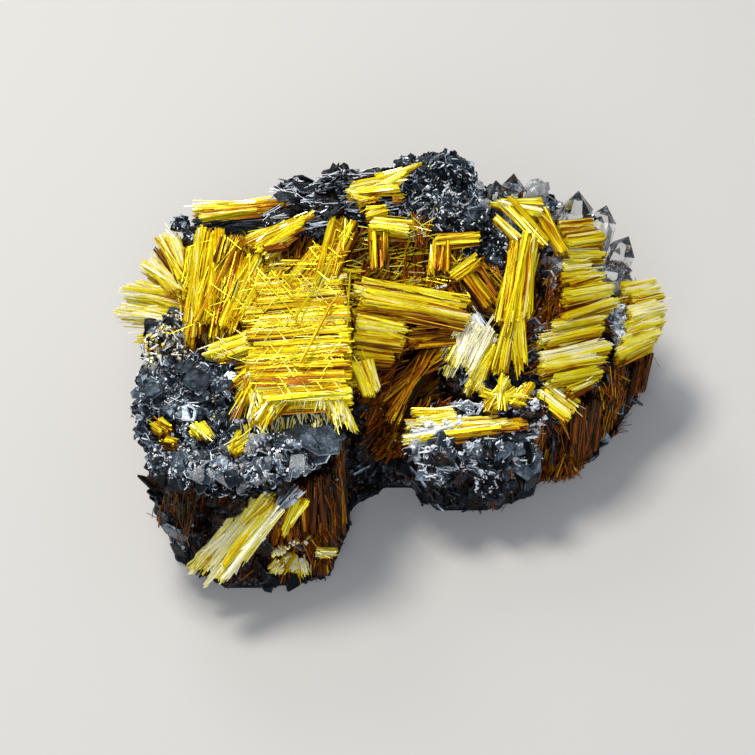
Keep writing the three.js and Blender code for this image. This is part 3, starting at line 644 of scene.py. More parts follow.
        Sheaf([-4.7, -10.4, 14], [-4.4, -10.8, 1.4], (3.2, 3.4), 1.6, 4, RUST_AND_SHADE, (0.95, -0.3, 0)),
    ],
    "east_wall_fibres": [
        Sheaf([20, -2.2, 11.4], [19.8, -3, 3.2], (3.6, 3.2), 1.6, 4, RUST_AND_SHADE, (0.55, -0.83, 0)),
    ],
    "rim_wall_fibres": [
        Sheaf([26.4, 5.4, 9.6], [26, 4.8, 3.8], (2.8, 2.4), 1.6, 3, RUST_AND_SHADE, (0.7, -0.7, 0)),
    ],
}

# Sheaves half sunk in the back and the sides of the matrix: where each lies, as an angle
# round the piece in degrees and a height, its length, its width, its lean from upright in
# degrees, and its tone.
WALL_SHEAVES = [
    (62, 9.5, 9.0, 2.2, 66, 0.4), (78, 13.0, 7.0, 1.8, 104, 0.46),
    (96, 6.5, 9.5, 2.6, 58, 0.4), (112, 12.5, 8.0, 2.0, 112, 0.36),
    (128, 7.0, 8.5, 2.4, 76, 0.46), (150, 10.5, 7.0, 2.0, 55, 0.38),
    (168, 7.0, 7.5, 2.0, 108, 0.42), (192, 9.0, 7.0, 2.2, 66, 0.38),
    (208, 5.0, 6.0, 1.8, 98, 0.46), (20, 6.0, 7.0, 1.8, 72, 0.46),
    (-14, 4.6, 6.0, 1.6, 104, 0.5), (38, 8.0, 7.0, 2.0, 98, 0.4),
]

# Loose needles that fill the gaps between sheaves, and fibres on the walls. Most are darker
# and redder than the sheaves: partly their own colour, partly painted shade in the gaps and on the
# walls.
LOOSE_NEEDLES = {
    "mat_filling_needles": [
        Needles((-16, 7.5, 17.5), (6, 7.5, 4), UP, 1300, (0.1, -1, 0), 9, (2, 5), 0.08, 0.4, 0.8),
        Needles((-9, 2, 17.5), (8, 9, 4), UP, 1000, (1, 0.05, 0), 9, (2, 5), 0.08, 0.4, 0.9),
        Needles((-9, 10, 18.5), (7, 4, 4), UP, 700, (-0.4, -1, 0), 14, (1.5, 4), 0.08, 0.7, 0.6),
    ],
    "recess_filling_needles": [
        Needles((1.5, 11, 18), (6, 4.5, 4), UP, 900, (0.1, 1, 0), 12, (1.5, 4), 0.08, 0.74, 0.5),
        Needles((1.5, 11, 18), (6, 4.5, 4), UP, 260, (1, 0.3, 0), 25, (1.5, 4.5), 0.06, 0.36, 0.9),
        Needles((8, 8, 16), (4, 4, 4), UP, 500, (0.6, -1, 0), 18, (1.5, 4), 0.08, 0.6, 0.6),
    ],
    "east_filling_needles": [
        Needles((19.5, 5, 14.5), (7, 9, 4), UP, 300, (1, 0.5, 0), 8, (1.5, 4), 0.08, 0.7, 0.4),
        Needles((15.8, 9, 15), (1.6, 4, 4), UP, 300, (0.2, 1, 0), 16, (1, 3.5), 0.08, 0.74, 0.6),
    ],
    "cavity_filling_needles": [
        Needles((0, 0.5, 9.5), (5.5, 6.5, 7), (0, -0.4, 1), 1300, (1, 1.2, 0.3), 14, (1.5, 4.5),
                0.09, 0.77, 0.6),
    ],
    "lobe_comb_needles": [
        Needles((-9.5, -8.4, 16), (7, 1.3, 2), UP, 200, (0.1, -1, -0.15), 14, (1, 2), 0.08, 0.1,
                0.6),
    ],
    "front_wall_fibres": [
        Needles((-15, -15, 7), (9, 6, 6.6), (0, -1, 0), 700, (0.12, 0, 1), 9, (1.5, 4.5), 0.07,
                0.9, 0.3, patchy=-0.05),
        Needles((-7, -13, 7), (5, 6, 7), (0.6, -0.8, 0), 1500, (0.1, 0, 1), 12, (1.5, 5), 0.07,
                0.74, 0.5),
    ],
    "south_wall_fibres": [
        Needles((20, -2, 7), (7, 7, 7), (0.5, -0.8, 0), 1500, (0.1, 0, 1), 10, (1.5, 5), 0.07,
                0.76, 0.5),
        Needles((6, -7, 5), (9, 5, 6), (0, -1, 0), 200, (0.1, 0, 1), 16, (1.2, 3), 0.07, 0.9, 0.3),
    ],
    "side_wall_fibres": [
        Needles((-24, 2, 7), (5, 16, 7), (-1, 0, 0), 700, (0.1, 0.4, 1), 12, (1, 2.6), 0.07, 0.84,
                0.25, patchy=0),
        Needles((25, 8, 6), (6, 11, 7), (1, 0.2, 0), 1100, (0, 0.1, 1), 14, (1, 4), 0.07, 0.76,
                0.5, patchy=-0.12),
        Needles((0, 20, 9), (24, 7, 10), (0, 1, 0), 1500, (0.5, 0, 1), 18, (1, 4), 0.07, 0.8, 0.5,
                patchy=0),
    ],
}

# Cream and lemon crumbs of broken needles.
CRUMB_ZONES = {
    "cream_crumbs": [
        Plates((-22.5, 4, 15), (3, 5, 4), UP, 500, (0.1, 0.45), 0.2, 1.4, -0.05),
        Plates((-23.8, 4, 13.5), (3, 3.5, 3.5), (-0.5, -1, 0.2), 220, (0.1, 0.45), 0.2, 1.4, 0),
        Plates((-23, 3.2, 15), (3, 3.8, 3), UP, 700, (0.1, 0.4), 0.2, 1.4, -0.02, lift=0.7),
        Plates((-22.5, 4, 15), (3.2, 4.2, 3), UP, 420, (0.1, 0.4), 0.2, 1.4, 0.74, lift=0.6),
        Plates((-8.6, -16.6, 4.2), (3.2, 2.5, 2), (0, -1, 0), 60, (0.2, 0.5), 0.4, 1.4, 0),
        Plates((-14, -9, 15.5), (8, 5, 2.5), UP, 60, (0.1, 0.3), 0.15, 1.4, 0.2),
        Plates((3, 17, 20.5), (14, 5, 5), UP, 60, (0.1, 0.35), 0.15, 1.4, 0.2),
        Plates((2, -3, 10), (5, 3.5, 4), UP, 60, (0.15, 0.4), 0.2, 1.4, 0.1),
    ],
}


def rutile_slot(name):
    """The finish of a rutile piece: brown for fibres, golden for the rest."""
    return "brown_rutile" if name.endswith("_fibres") else "golden_rutile"


def rutile_material():
    """
    Rutile needles, natural prism faces. Yellow that deepens to red-brown with each needle's
    tone, which holds painted shade: needles deep in a sheaf and at a strand's edges are darker.
    Fine lines along the needle, and the silky shine that they give. Rutile's own
    shine lies between glass and metal, so it is drawn as part metal with a golden tint, and
    its IOR stays below the real 2.6, since the metal adds to the shine.
    """
    settings = bpy.context.scene.rutile
    material, tree, output = new_material("rutile_needle_faces")
    grain = add_node(tree, "ShaderNodeUVMap", uv_map="grain")
    stretched = add_node(tree, "ShaderNodeMapping", {
        "Vector": grain.outputs["UV"], "Scale": (MM / settings.striation, 0.5, 1.0)})
    lines = add_node(tree, "ShaderNodeTexNoise", {
        "Vector": stretched.outputs["Vector"], "Scale": 1.0, "Detail": 3.0, "Roughness": 0.6},
        noise_dimensions="2D")
    place = add_node(tree, "ShaderNodeTexCoord")
    patches = add_node(tree, "ShaderNodeTexNoise", {
        "Vector": place.outputs["Object"], "Scale": COLOUR_PATCHES / MM, "Detail": 2.0})
    tone = add_node(tree, "ShaderNodeAttribute", attribute_name="tone")
    lined = add_node(tree, "ShaderNodeMath", {
        0: lines.outputs["Fac"], 1: 0.4, 2: -0.18}, operation="MULTIPLY_ADD")
    patched = add_node(tree, "ShaderNodeMath", {
        0: patches.outputs["Fac"], 1: 0.36, 2: lined.outputs[0]}, operation="MULTIPLY_ADD")
    shifted = add_node(tree, "ShaderNodeMath", {
        0: patched.outputs[0], 1: -0.18}, operation="ADD")
    total = add_node(tree, "ShaderNodeMath", {
        0: tone.outputs["Fac"], 1: shifted.outputs[0]}, operation="ADD", use_clamp=True)
    colour = add_node(tree, "ShaderNodeValToRGB", {"Fac": total.outputs[0]})
    set_stops(colour.color_ramp, [
        (0.0, "#FFFBDC"), (0.1, "#F8F080"), (0.22, "#EFE41C"), (0.36, "#E2CA0A"),
        (0.48, "#CC9E06"), (0.58, "#B06604"), (0.7, "#8A4204"), (0.84, "#521D05"),
        (1.0, "#180B05")])
    bump = add_node(tree, "ShaderNodeBump", {
        "Height": lines.outputs["Fac"], "Strength": 0.35, "Distance": 0.03 * MM})
    surface = add_node(tree, "ShaderNodeBsdfPrincipled", {
        "Base Color": colour.outputs["Color"], "Normal": bump.outputs["Normal"],
        "Metallic": 0.45, "Roughness": settings.roughness, "IOR": 1.5,
        "Specular Tint": linear("#FFE9A8")})
    tree.links.new(surface.outputs["BSDF"], output.inputs["Surface"])
    return material


def needle_shade(tone, dice):
    """The tone of one needle of a sheaf: some are darker than their sheaf, some brighter."""
    pick = dice.random()
    shift = 0.0
    if pick < DARK_SHARE:
        shift = 0.12 + 0.5 * max(tone, 0)
    elif pick > 1 - BRIGHT_SHARE:
        shift = -0.16
    return tone + shift + dice.gauss(0, 0.06)


def one_needle(root, tip, side, half_width, tone, ends, dice):
    """A row for needle_mesh, with a thickness, a taper and a slant of its own."""
    return (root, tip, side, half_width, half_width * dice.uniform(0.35, 0.9),
            dice.uniform(0.4, 1.0), dice.uniform(-1.5, 1.5), tone + ends[0], tone + ends[1])


def sheaf_needles(row, dice):
    """
    The needles of one sheaf: strands of unlike height, lean and length, each full of
    needles with ragged ends, and strays that lie on top.
    """
    settings = bpy.context.scene.rutile
    pitch = settings.pitch / MM
    start, end = Vector(row.start), Vector(row.end)
    along = end - start
    length = along.length
    along.normalize()
    across = Vector(row.face).cross(along).normalized()
    out = along.cross(across)
    root_width, tip_width = row.width
    fray = row.fray
    strands = max(row.strands + 1, round((root_width + tip_width) / 2 / STRAND_WIDTH))
    splay = settings.splay + FRAYED_SPLAY * fray
    reach = (root_width + tip_width) / 4
    bulge = 0.42 * reach / strands   # strands are round
    pointed_root = 0.4 * max(0.0, 1 - root_width / tip_width)
    pointed_tip = 0.4 * max(0.0, 1 - tip_width / root_width)
    needles = []

    def place(share, sideways, height):
        """A point at a share of the length, a share of the half width and a height."""
        half = (root_width + (tip_width - root_width) * share) / 2
        thin = 0.3 + 1.4 * half / max(root_width, tip_width)
        return start + along * (share * length) + across * (sideways * half) + out * (height * thin)

    for lane in range(strands):
        middle = (lane + 0.5) / strands * 2 - 1
        top = -dice.random() * 0.45   # each strand has its own height, lean, ends and tone
        lean = dice.gauss(0, 0.035 + 0.1 * fray)
        first, last = dice.uniform(-0.02, 0.1), dice.uniform(0.84 - 0.2 * fray, 1.02)
        strand_tone = row.tone + dice.gauss(0, 0.08)
        count = max(2, int(2 * reach / strands * row.thick / (pitch * pitch) * 1.1))
        for _ in range(count):
            aside = dice.uniform(-1.25, 1.25)
            sideways = max(min(middle + aside / strands, 1.0), -1.0)
            deep = dice.random() ** 1.8
            depth = deep * row.thick + bulge * aside * aside
            turn = lean + dice.gauss(0, splay)
            tilt = dice.gauss(0, splay * 0.35) * length / 2
            share_0 = first + dice.random() ** 3 * 0.2 + abs(sideways) * pointed_root
            ragged = dice.random() ** (3 - 1.5 * fray) * (0.16 + 0.3 * fray)
            share_1 = last - ragged - abs(sideways) * pointed_tip
            root = place(share_0, sideways, top - depth - tilt) - across * (turn * length / 2)
            tip = place(share_1, sideways, top - depth + tilt) + across * (turn * length / 2)
            wide = dice.random() > 1 - WIDE_SHARE
            half_width = pitch * (dice.uniform(0.8, 1.7) if wide else dice.uniform(0.3, 0.75))
            shade = needle_shade(strand_tone, dice) if row.strands else row.tone
            # On rutile, needles deep in the sheaf and at a strand's edges come out darker: painted
            # shade. Wide ones lose a little tone.
            tone = shade + 0.34 * deep + 0.12 * aside * aside - 0.02 * wide
            roll = dice.uniform(-0.6, 0.6)
            side = across * math.cos(roll) + out * math.sin(roll)
            needles.append(one_needle(root, tip, side, half_width, tone, row.ends, dice))

    strays = int(len(needles) * settings.strays * max(row.twin * 2, 0.3 + fray))
    for _ in range(strays):
        twinned = dice.random() < row.twin
        if twinned:
            turn = math.radians(dice.choice((-TWIN_ANGLE, TWIN_ANGLE)) + dice.gauss(0, 2))
        else:
            turn = math.radians(dice.gauss(0, 9))
        run = along * math.cos(turn) + across * math.sin(turn)
        half = dice.uniform(0.5, 1.6) if twinned else min(length * 0.3, dice.uniform(0.6, 2.2))
        middle = place(dice.uniform(0.1, 0.9), dice.uniform(-0.85, 0.85), dice.uniform(-0.25, 0.12))
        side = run.cross(out) + out * dice.uniform(-0.5, 0.5)
        half_width = pitch * (dice.uniform(0.2, 0.4) if twinned else dice.uniform(0.25, 0.6))
        tone = row.tone - 0.12 if twinned else needle_shade(row.tone, dice)
        needles.append(one_needle(middle - run * half, middle + run * half, side, half_width,
                                  tone, row.ends, dice))
    return needles


def wall_sheaf(angle, height, length, width, lean, tone):
    """A sheaf sunk in the wall at an angle round the piece."""
    points, normals = BODY["points"], BODY["normals"]
    aim_x, aim_y = math.cos(math.radians(angle)), math.sin(math.radians(angle))
    ahead = points[:, 0] * aim_x + (points[:, 1] - MIDDLE[1]) * aim_y
    aside = points[:, 0] * aim_y - (points[:, 1] - MIDDLE[1]) * aim_x
    near = np.nonzero((np.abs(aside) < 1) & (np.abs(points[:, 2] - height) < 1) & (ahead > 0))[0]
    if len(near) == 0:
        raise RuntimeError("the matrix has no wall at %s degrees" % angle)
    point = Vector(points[near[np.argmax(ahead[near])]])
    normal = Vector((aim_x, aim_y, 0.15)).normalized()
    level = normal.cross(Vector(UP)).normalized()
    run = Vector(UP) * math.cos(math.radians(lean)) + level * math.sin(math.radians(lean))
    middle = point - normal * 0.2   # a little under the surface
    return Sheaf(middle - run * (length / 2), middle + run * (length / 2), (width, width * 0.6),
                 thick=1.2, strands=2, tone=tone, face=normal, ends=(0.1, 0.0), fray=0.08)


class SPECIMEN_OT_rutile_sheaves(bpy.types.Operator):
    """Draws each rutile sheaf as needles, in place of its solid"""
    bl_idname = "specimen.rutile_sheaves"
    bl_label = "Rutile sheaves"

    def execute(self, context):
        material = rutile_material()
        for number, (node, rows) in enumerate(SHEAVES.items()):
            needles = gather(sheaf_needles, rows, random.Random(SHEAF_SEED + number))
            show(node + "_needles", needle_mesh(needles), material, rutile_slot(node), node)
        return {"FINISHED"}


class SPECIMEN_OT_loose_needles(bpy.types.Operator):
    """Scatters the loose needles and wall fibres on the matrix"""
    bl_idname = "specimen.loose_needles"
    bl_label = "Loose needles"

    def execute(self, context):
        material = bpy.data.materials["rutile_needle_faces"]
        scatter(LOOSE_NEEDLES, NEEDLE_SEED, loose_needles, needle_mesh, material)
        rows = [wall_sheaf(*row) for row in WALL_SHEAVES]
        needles = gather(sheaf_needles, rows, random.Random(WALL_SEED))
        show("wall_sheaves", needle_mesh(needles), material, "golden_rutile")
        scatter(CRUMB_ZONES, CRUMB_SEED, plates_in, plate_mesh, material)
        return {"FINISHED"}


# ---- Hematite -------------------------------------------------------------------------

CLOUDS = 0.6   # a millimetre, so 1.7 mm wide, as wide as a broken plate

# Broken plates of three sizes: share of the plate size, how far they lean, and a seed.
BROKEN_PLATES, CHIPS, BLOCKS = (1.0, 0.9, 3.0), (0.36, 0.8, 11.0), (3.2, 0.5, 5.0)

# How bright the hematite is in places: centre and reach of an egg, and tone added there.
# The lightening is partly the matrix's own paler patches, partly painted highlight and reflection.
PALE_AND_SHEEN_SPOTS = [
    ((-18, -7, 15), (11, 12, 4), 0.14),
    ((-8, -11, 16), (5, 5, 3), 0.3),
    ((8, -6, 9), (10, 5, 5), 0.4),
    ((20, 6, 14), (6, 10, 4), 0.2),
    ((-22.5, 4, 15), (4, 5, 4), 0.45),
    ((4, 18, 21), (14, 6, 5), 0.16),
]

# Plates and flakes that stand on the matrix. The flakes and the palest plates are toned near white:
# painted glints.
PLATE_ZONES = {
    "crest_plates": [
        Plates((-6, 17, 21), (7, 5, 3), UP, 420, (0.4, 1.5), 0.08, 0.2, 0.08, rim=0.8),
        Plates((5.5, 18, 21), (6, 6, 4), UP, 700, (0.25, 0.9), 0.1, 1.1, 0.2, rim=0.9),
        Plates((14, 19, 18), (5, 5, 4), UP, 260, (0.3, 1), 0.12, 0.8, 0.5, rim=0.4),
    ],
    "crest_flakes": [
        Plates((-4, 17, 21), (12, 6, 4), UP, 700, (0.12, 0.4), 0.06, 1.4, 1),
        Plates((9, 16, 19), (9, 7, 5), UP, 1300, (0.1, 0.36), 0.06, 1.4, 0.95),
    ],
    "recess_plates": [
        Plates((9.5, 11.5, 17.5), (4, 5, 4), UP, 320, (0.25, 0.7), 0.1, 1, 0.12, rim=0.5),
    ],
    "lobe_plates": [
        Plates((-16, -8, 15.5), (12, 9, 2.5), UP, 120, (0.6, 1.5), 0.1, 0.3, 0.4, rim=0.45),
        Plates((-19, -5, 15), (8, 9, 3), UP, 900, (0.2, 0.8), 0.1, 1.3, 0.34, rim=0.6),
        Plates((-15, -13, 15), (9, 3.5, 2.5), UP, 620, (0.25, 0.8), 0.1, 1, 0.34, rim=0.8),
    ],
    "lobe_flakes": [
        Plates((-16, -8, 15.5), (13, 11, 3), UP, 1700, (0.08, 0.3), 0.05, 1.4, 0.8, rim=0.3),
        Plates((-15, -13, 15.5), (9, 3, 3), UP, 900, (0.08, 0.34), 0.05, 1.4, 0.9, rim=0.3,
               lift=0.5),
    ],
    "shoulder_plates": [
        Plates((-21.5, 5, 15), (4, 5, 4), UP, 420, (0.25, 0.7), 0.1, 1.2, 0.55, rim=0.6),
        Plates((-22, 18, 15), (2.5, 3, 4), UP, 120, (0.25, 0.7), 0.12, 1, 0.5, rim=0.5),
        Plates((-22.8, 4.4, 15), (3.2, 4.4, 3), UP, 360, (0.2, 0.55), 0.1, 1.4, 0.02, lift=0.9),
    ],
    "east_plates": [
        Plates((20, 6, 14), (8, 12, 4), UP, 480, (0.3, 1.1), 0.1, 0.8, 0.4, rim=0.5),
        Plates((23.6, 8.6, 13), (1.1, 4.6, 4), UP, 560, (0.15, 0.55), 0.1, 1.2, 0.85, rim=0.4,
               lift=2.8),
        Plates((20, 6, 14), (8, 12, 4), UP, 500, (0.12, 0.35), 0.06, 1.4, 0.9),
    ],
    "lip_plates": [
        Plates((8, -6.5, 10), (9, 4.5, 3.5), (0, -0.7, 0.7), 160, (0.5, 1.5), 0.12, 0.4, 0.5,
               rim=0.6),
        Plates((8, -6.5, 6), (9, 4.5, 5), (0, -0.9, 0.3), 160, (0.5, 1.5), 0.14, 0.5, 0.16,
               rim=0.4),
        Plates((8, -6, 9), (9, 4.6, 5), (0, -0.5, 0.8), 520, (0.25, 0.7), 0.1, 1.1, 0.8, rim=0.5),
        Plates((8, -6, 9.5), (9, 4.6, 5), (0, -0.5, 0.8), 1900, (0.1, 0.38), 0.06, 1.4, 1.1,
               rim=0.3),
        Plates((5.2, -4.7, 10.5), (2.8, 1, 3), UP, 260, (0.2, 0.6), 0.08, 0.6, 0.9, rim=0.4,
               lift=2.4),
        Plates((1.6, -6.2, 10), (1.6, 1.4, 3), (0, -0.4, 0.9), 160, (0.1, 0.4), 0.08, 1.4, 1.1,
               lift=1.6),
        Plates((14.2, -3.4, 12), (1.6, 2, 3), UP, 180, (0.1, 0.4), 0.08, 1.4, 1.1, lift=1),
    ],
    "wall_plates": [
        Plates((0, 0, 3), (31, 26, 8), (0, -1, 0), 300, (0.4, 1.4), 0.18, 0.6, 0.14, rim=0.3),
        Plates((-21, -12, 9), (4, 6, 7), (-0.4, -1, 0), 90, (0.4, 1.4), 0.18, 0.6, 0.14, rim=0.3),
        Plates((0, 0, 5), (31, 26, 8), (1, 0, 0), 420, (0.5, 1.8), 0.2, 0.5, 0.26, rim=0.35),
        Plates((0, 0, 5), (31, 26, 8), (-1, 0, 0), 520, (0.5, 2), 0.2, 0.5, 0.28, rim=0.35),
        Plates((0, 0, 8), (31, 26, 10), (0, 1, 0), 900, (0.5, 2), 0.2, 0.5, 0.28, rim=0.35),
    ],
    "wall_flakes": [
        Plates((0, 0, 7), (31, 26, 10), (-1, 0, 0), 500, (0.12, 0.4), 0.08, 1.3, 0.7),
        Plates((0, 0, 9), (31, 26, 12), (0, 1, 0), 900, (0.12, 0.4), 0.08, 1.3, 0.7),
    ],
}

# Broad smooth plates: where they lie, their radius, how they lean, and their tone.
BROAD_PLATES = [
    (-7.2, -9.6, 2.8, (0.0, 0.12, 0), 0.42), (-9.2, -10.4, 2.2, (0.1, 0.16, 0), 0.4),
    (-6.4, -11.5, 2.2, (0.12, 0.1, 0), 0.44), (-7.6, -12.6, 1.2, (0.15, -0.2, 0), 0.4),
    (-18.8, -4.1, 1.5, (0, -0.1, 0), 0.36), (-20.6, -1.6, 1.2, (-0.2, 0.1, 0), 0.36),
    (-23.4, -4.8, 1.2, (-0.3, 0, 0), 0.36), (-12.0, -13.6, 1.2, (0, -0.4, 0), 0.6),
    (-16.6, -14.4, 1.2, (-0.1, -0.4, 0), 0.56), (-20.4, -12.9, 1.2, (-0.2, -0.3, 0), 0.5),
    (9.5, -5.0, 1.5, (0.1, -0.4, 0), 0.5), (5.0, -6.4, 1.6, (0, -0.3, 0), 0.52),
    (13.2, -5.6, 0.9, (0.2, -0.2, 0), 0.36),
]
BROAD_LIFT, BROAD_THICK, BROAD_RIM = 0.12, 0.3, 0.3   # the last is the tone gained at the rim, a painted glint

# Grey splinters among the rutile, laid out as the sheaves are. The pale ones are partly painted
# glint.
GREY_STREAKS = [
    Sheaf([-9, -15, 13.9], [-13.6, -17.6, 8.6], (1, 0.7), 0.7, 1, 0.75, (0, -0.8, 0.6), fray=0.3),
    Sheaf([-12.6, -17.2, 9.6], [-16.2, -20, 5], (0.6, 0.4), 0.5, 1, 0.9, (0, -0.8, 0.6), fray=0.3),
    Sheaf([8.2, 6.4, 15.6], [10.2, 3.8, 14.6], (1.3, 0.9), 0.6, 1, 1, (0, -0.5, 0.8), fray=0.3),
    Sheaf([-20.4, 16.2, 18.4], [-9, 16.6, 19.9], (2, 2), 2, 3, 0.12, fray=0.3),
    Sheaf([1.6, -6.4, 11], [7.4, -6, 11.4], (1.6, 1.2), 0.6, 2, 0.95, (0, -0.6, 0.8), fray=0.4),
]

# Edges of stacked thin plates, drawn as fine near-white lines: painted glints.
PLATE_EDGES = [
    Needles((-6, 17, 21), (7, 5, 3), UP, 240, (1, 0.1, 0), 12, (0.8, 3), 0.07, 1, 0.4),
    Needles((5, 17, 20), (7, 5, 4), UP, 120, (1, 0.4, 0), 50, (0.3, 1.2), 0.08, 1, 0.4),
    Needles((-16, -6, 15.5), (12, 9, 3), UP, 200, (0.6, -1, 0), 60, (0.3, 1.3), 0.08, 1, 0.3),
    Needles((8, -6.5, 10.5), (9, 5, 3.5), (0, -0.7, 0.7), 240, (1, 0, 0), 14, (0.4, 2), 0.08, 1.1,
            0.4),
    Needles((20, 6, 14), (7, 11, 4), UP, 160, (1, 0.4, 0), 40, (0.4, 1.4), 0.08, 1, 0.4),
    Needles((-22, 4, 15), (4, 5, 4), UP, 150, (0.6, -1, 0), 60, (0.3, 1.2), 0.08, 1.1, 1.2),
]


def hematite_material(name, glint):
    """
    Specular hematite, broken plates. Black to steel-blue metal whose small facets each
    face their own way, so that single ones flash. glint is how far they lean. Its palest
    tones turn near white and less metallic: painted glints. On the walls it turns dark brown
    in patches, partly the brown of the wall fibres and partly painted shade.
    """
    settings = bpy.context.scene.hematite
    material, tree, output = new_material(name)
    place = add_node(tree, "ShaderNodeTexCoord")
    tone = add_node(tree, "ShaderNodeAttribute", attribute_name="tone")
    brown_and_shade = add_node(tree, "ShaderNodeAttribute", attribute_name="brown_and_shade")
    cloud = add_node(tree, "ShaderNodeTexNoise", {
        "Vector": place.outputs["Object"], "Scale": CLOUDS / MM, "Detail": 5.0,
        "Roughness": 0.65})
    cells = add_node(tree, "ShaderNodeTexVoronoi", {
        "Vector": place.outputs["Object"], "Scale": 1 / settings.glint_size}, feature="F1")
    clouded = add_node(tree, "ShaderNodeMath", {
        0: cloud.outputs["Fac"], 1: 0.9, 2: -0.45}, operation="MULTIPLY_ADD")
    total = add_node(tree, "ShaderNodeMath", {
        0: tone.outputs["Fac"], 1: clouded.outputs[0]}, operation="ADD", use_clamp=True)
    metal = add_node(tree, "ShaderNodeValToRGB", {"Fac": total.outputs[0]})
    # From black through steel blue; the near-white top end is painted glint.
    set_stops(metal.color_ramp, [
        (0.0, "#0A0D10"), (0.3, "#1A2128"), (0.55, "#434F5B"), (0.8, "#98A6B4"), (1.0, "#EEF2F5")])
    brown = add_node(tree, "ShaderNodeValToRGB", {"Fac": cloud.outputs["Fac"]})
    set_stops(brown.color_ramp, [(0.3, "#0F0A06"), (0.5, "#2B1708"), (0.7, "#4C2B0E")])
    colour = add_node(tree, "ShaderNodeMix", {
        "Factor": brown_and_shade.outputs["Fac"], "A": metal.outputs["Color"], "B": brown.outputs["Color"]},
        data_type="RGBA")
    facing = add_node(tree, "ShaderNodeVectorMath", {
        0: cells.outputs["Color"], 1: (glint * 2,) * 3, 2: (-glint,) * 3},
        operation="MULTIPLY_ADD")
    surface_normal = add_node(tree, "ShaderNodeNewGeometry")
    tilted = add_node(tree, "ShaderNodeVectorMath", {
        0: surface_normal.outputs["Normal"], 1: facing.outputs[0]}, operation="ADD")
    normal = add_node(tree, "ShaderNodeVectorMath", {0: tilted.outputs[0]}, operation="NORMALIZE")
    bump = add_node(tree, "ShaderNodeBump", {
        "Height": cloud.outputs["Fac"], "Normal": normal.outputs[0], "Strength": 0.5,
        "Distance": 0.12 * MM})
    rough = add_node(tree, "ShaderNodeMath", {
        0: cloud.outputs["Fac"], 1: 0.5, 2: 0.14}, operation="MULTIPLY_ADD")
    # Near-white tones lose most of their metal, so that they read as painted glints.
    metallic = add_node(tree, "ShaderNodeMapRange", {
        "Value": total.outputs[0], "From Min": 0.75, "From Max": 1.0, "To Min": 0.7,
        "To Max": 0.1})
    surface = add_node(tree, "ShaderNodeBsdfPrincipled", {
        "Base Color": colour.outputs["Result"], "Normal": bump.outputs["Normal"],
        "Roughness": rough.outputs[0], "Metallic": metallic.outputs[0]})
    tree.links.new(surface.outputs["BSDF"], output.inputs["Surface"])
    return material


def remeshed(node, size):
    """Vertices and normals in metres and quads of a CAD node's own mesh, cut into even faces."""
    source = bpy.data.objects.new("matrix_source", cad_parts[node].data.copy())
    bpy.context.scene.collection.objects.link(source)
    even = source.modifiers.new("even faces", "REMESH")
    even.mode, even.voxel_size, even.adaptivity = "VOXEL", size, 0.0
    depsgraph = bpy.context.evaluated_depsgraph_get()
    mesh = bpy.data.meshes.new_from_object(source.evaluated_get(depsgraph))
    verts = np.zeros(len(mesh.vertices) * 3)
    mesh.vertices.foreach_get("co", verts)
    normals = np.zeros(len(mesh.vertices) * 3)
    mesh.vertex_normals.foreach_get("vector", normals)
    quads = np.array([tuple(face.vertices) for face in mesh.polygons if len(face.vertices) == 4])
    bpy.data.objects.remove(source)
    bpy.data.meshes.remove(mesh)
    return verts.reshape(-1, 3), normals.reshape(-1, 3), quads


def plate_step(point, size, kind):
    """Height of broken plates at a point: each cell has its own height and its own lean."""
    share, lean, seed = kind
    spot = point / (size * share) + Vector((seed, seed * 1.7, seed * 0.6))
    near = noise.voronoi(spot)[1][0]
    throw = noise.cell_vector(near * 7.31)
    away = spot - near
    return (throw.x - 0.5) * 2 + away.dot((throw - Vector((0.5, 0.5, 0.5))) * 2) * lean


class SPECIMEN_OT_hematite_body(bpy.types.Operator):
    """Gives the matrix its broken plates and relief"""
    bl_idname = "specimen.hematite_body"
    bl_label = "Hematite body"

    def execute(self, context):
        settings = context.scene.hematite
        verts, normals, quads = remeshed("hematite_matrix", settings.detail)
        if len(quads) < 1000:
            raise RuntimeError("the matrix was not cut into even faces")
        size, relief = settings.plate_size / MM, settings.relief / MM
        points = to_table(verts)
        tone, brown_and_shade = np.zeros(len(points)), np.zeros(len(points))
        for i, normal in enumerate(normals):
            point = Vector(points[i])
            fade = min(max((point.z - 0.2) / 0.8, 0.0), 1.0)   # the underside stays flat
            wall = 1 - abs(normal[2])
            step = plate_step(point, size, BROKEN_PLATES) + plate_step(point, size, CHIPS) * 0.3
            block = plate_step(point, size, BLOCKS) * 1.1 - 0.9
            rise = (step * relief - 0.1 + min(block, 0.3) * wall) * fade
            points[i] = np.array(point) + normal * rise
            tone[i] = 0.26 + 0.1 * step
            patch = noise.noise(point * 0.25) + 0.6 * noise.noise(point * 0.9)
            # Walls turn dark brown in patches: partly the brown of the wall fibres, partly painted
            # shade.
            brown_and_shade[i] = min(max(wall * 1.3 - 0.35 + patch * 0.8, 0.0), 0.9) * fade
        for centre, reach, extra in PALE_AND_SHEEN_SPOTS:
            tone += extra * np.clip(1.3 - in_egg(points, centre, reach), 0, 1)
        crusts = [remeshed(node, settings.detail)
                  for node in ("quartz_lobe_crust", "quartz_west_crust")]
        BODY["points"] = np.vstack([points] + [to_table(crust[0]) for crust in crusts])
        BODY["normals"] = np.vstack([normals] + [crust[1] for crust in crusts])
        mesh = fill_mesh(to_metres(points), quads, {"tone": tone, "brown_and_shade": brown_and_shade}, smooth=True)
        show("hematite_body", mesh, hematite_material("hematite_broken_surface", 0.4),
             "specular_hematite", "hematite_matrix")
        return {"FINISHED"}


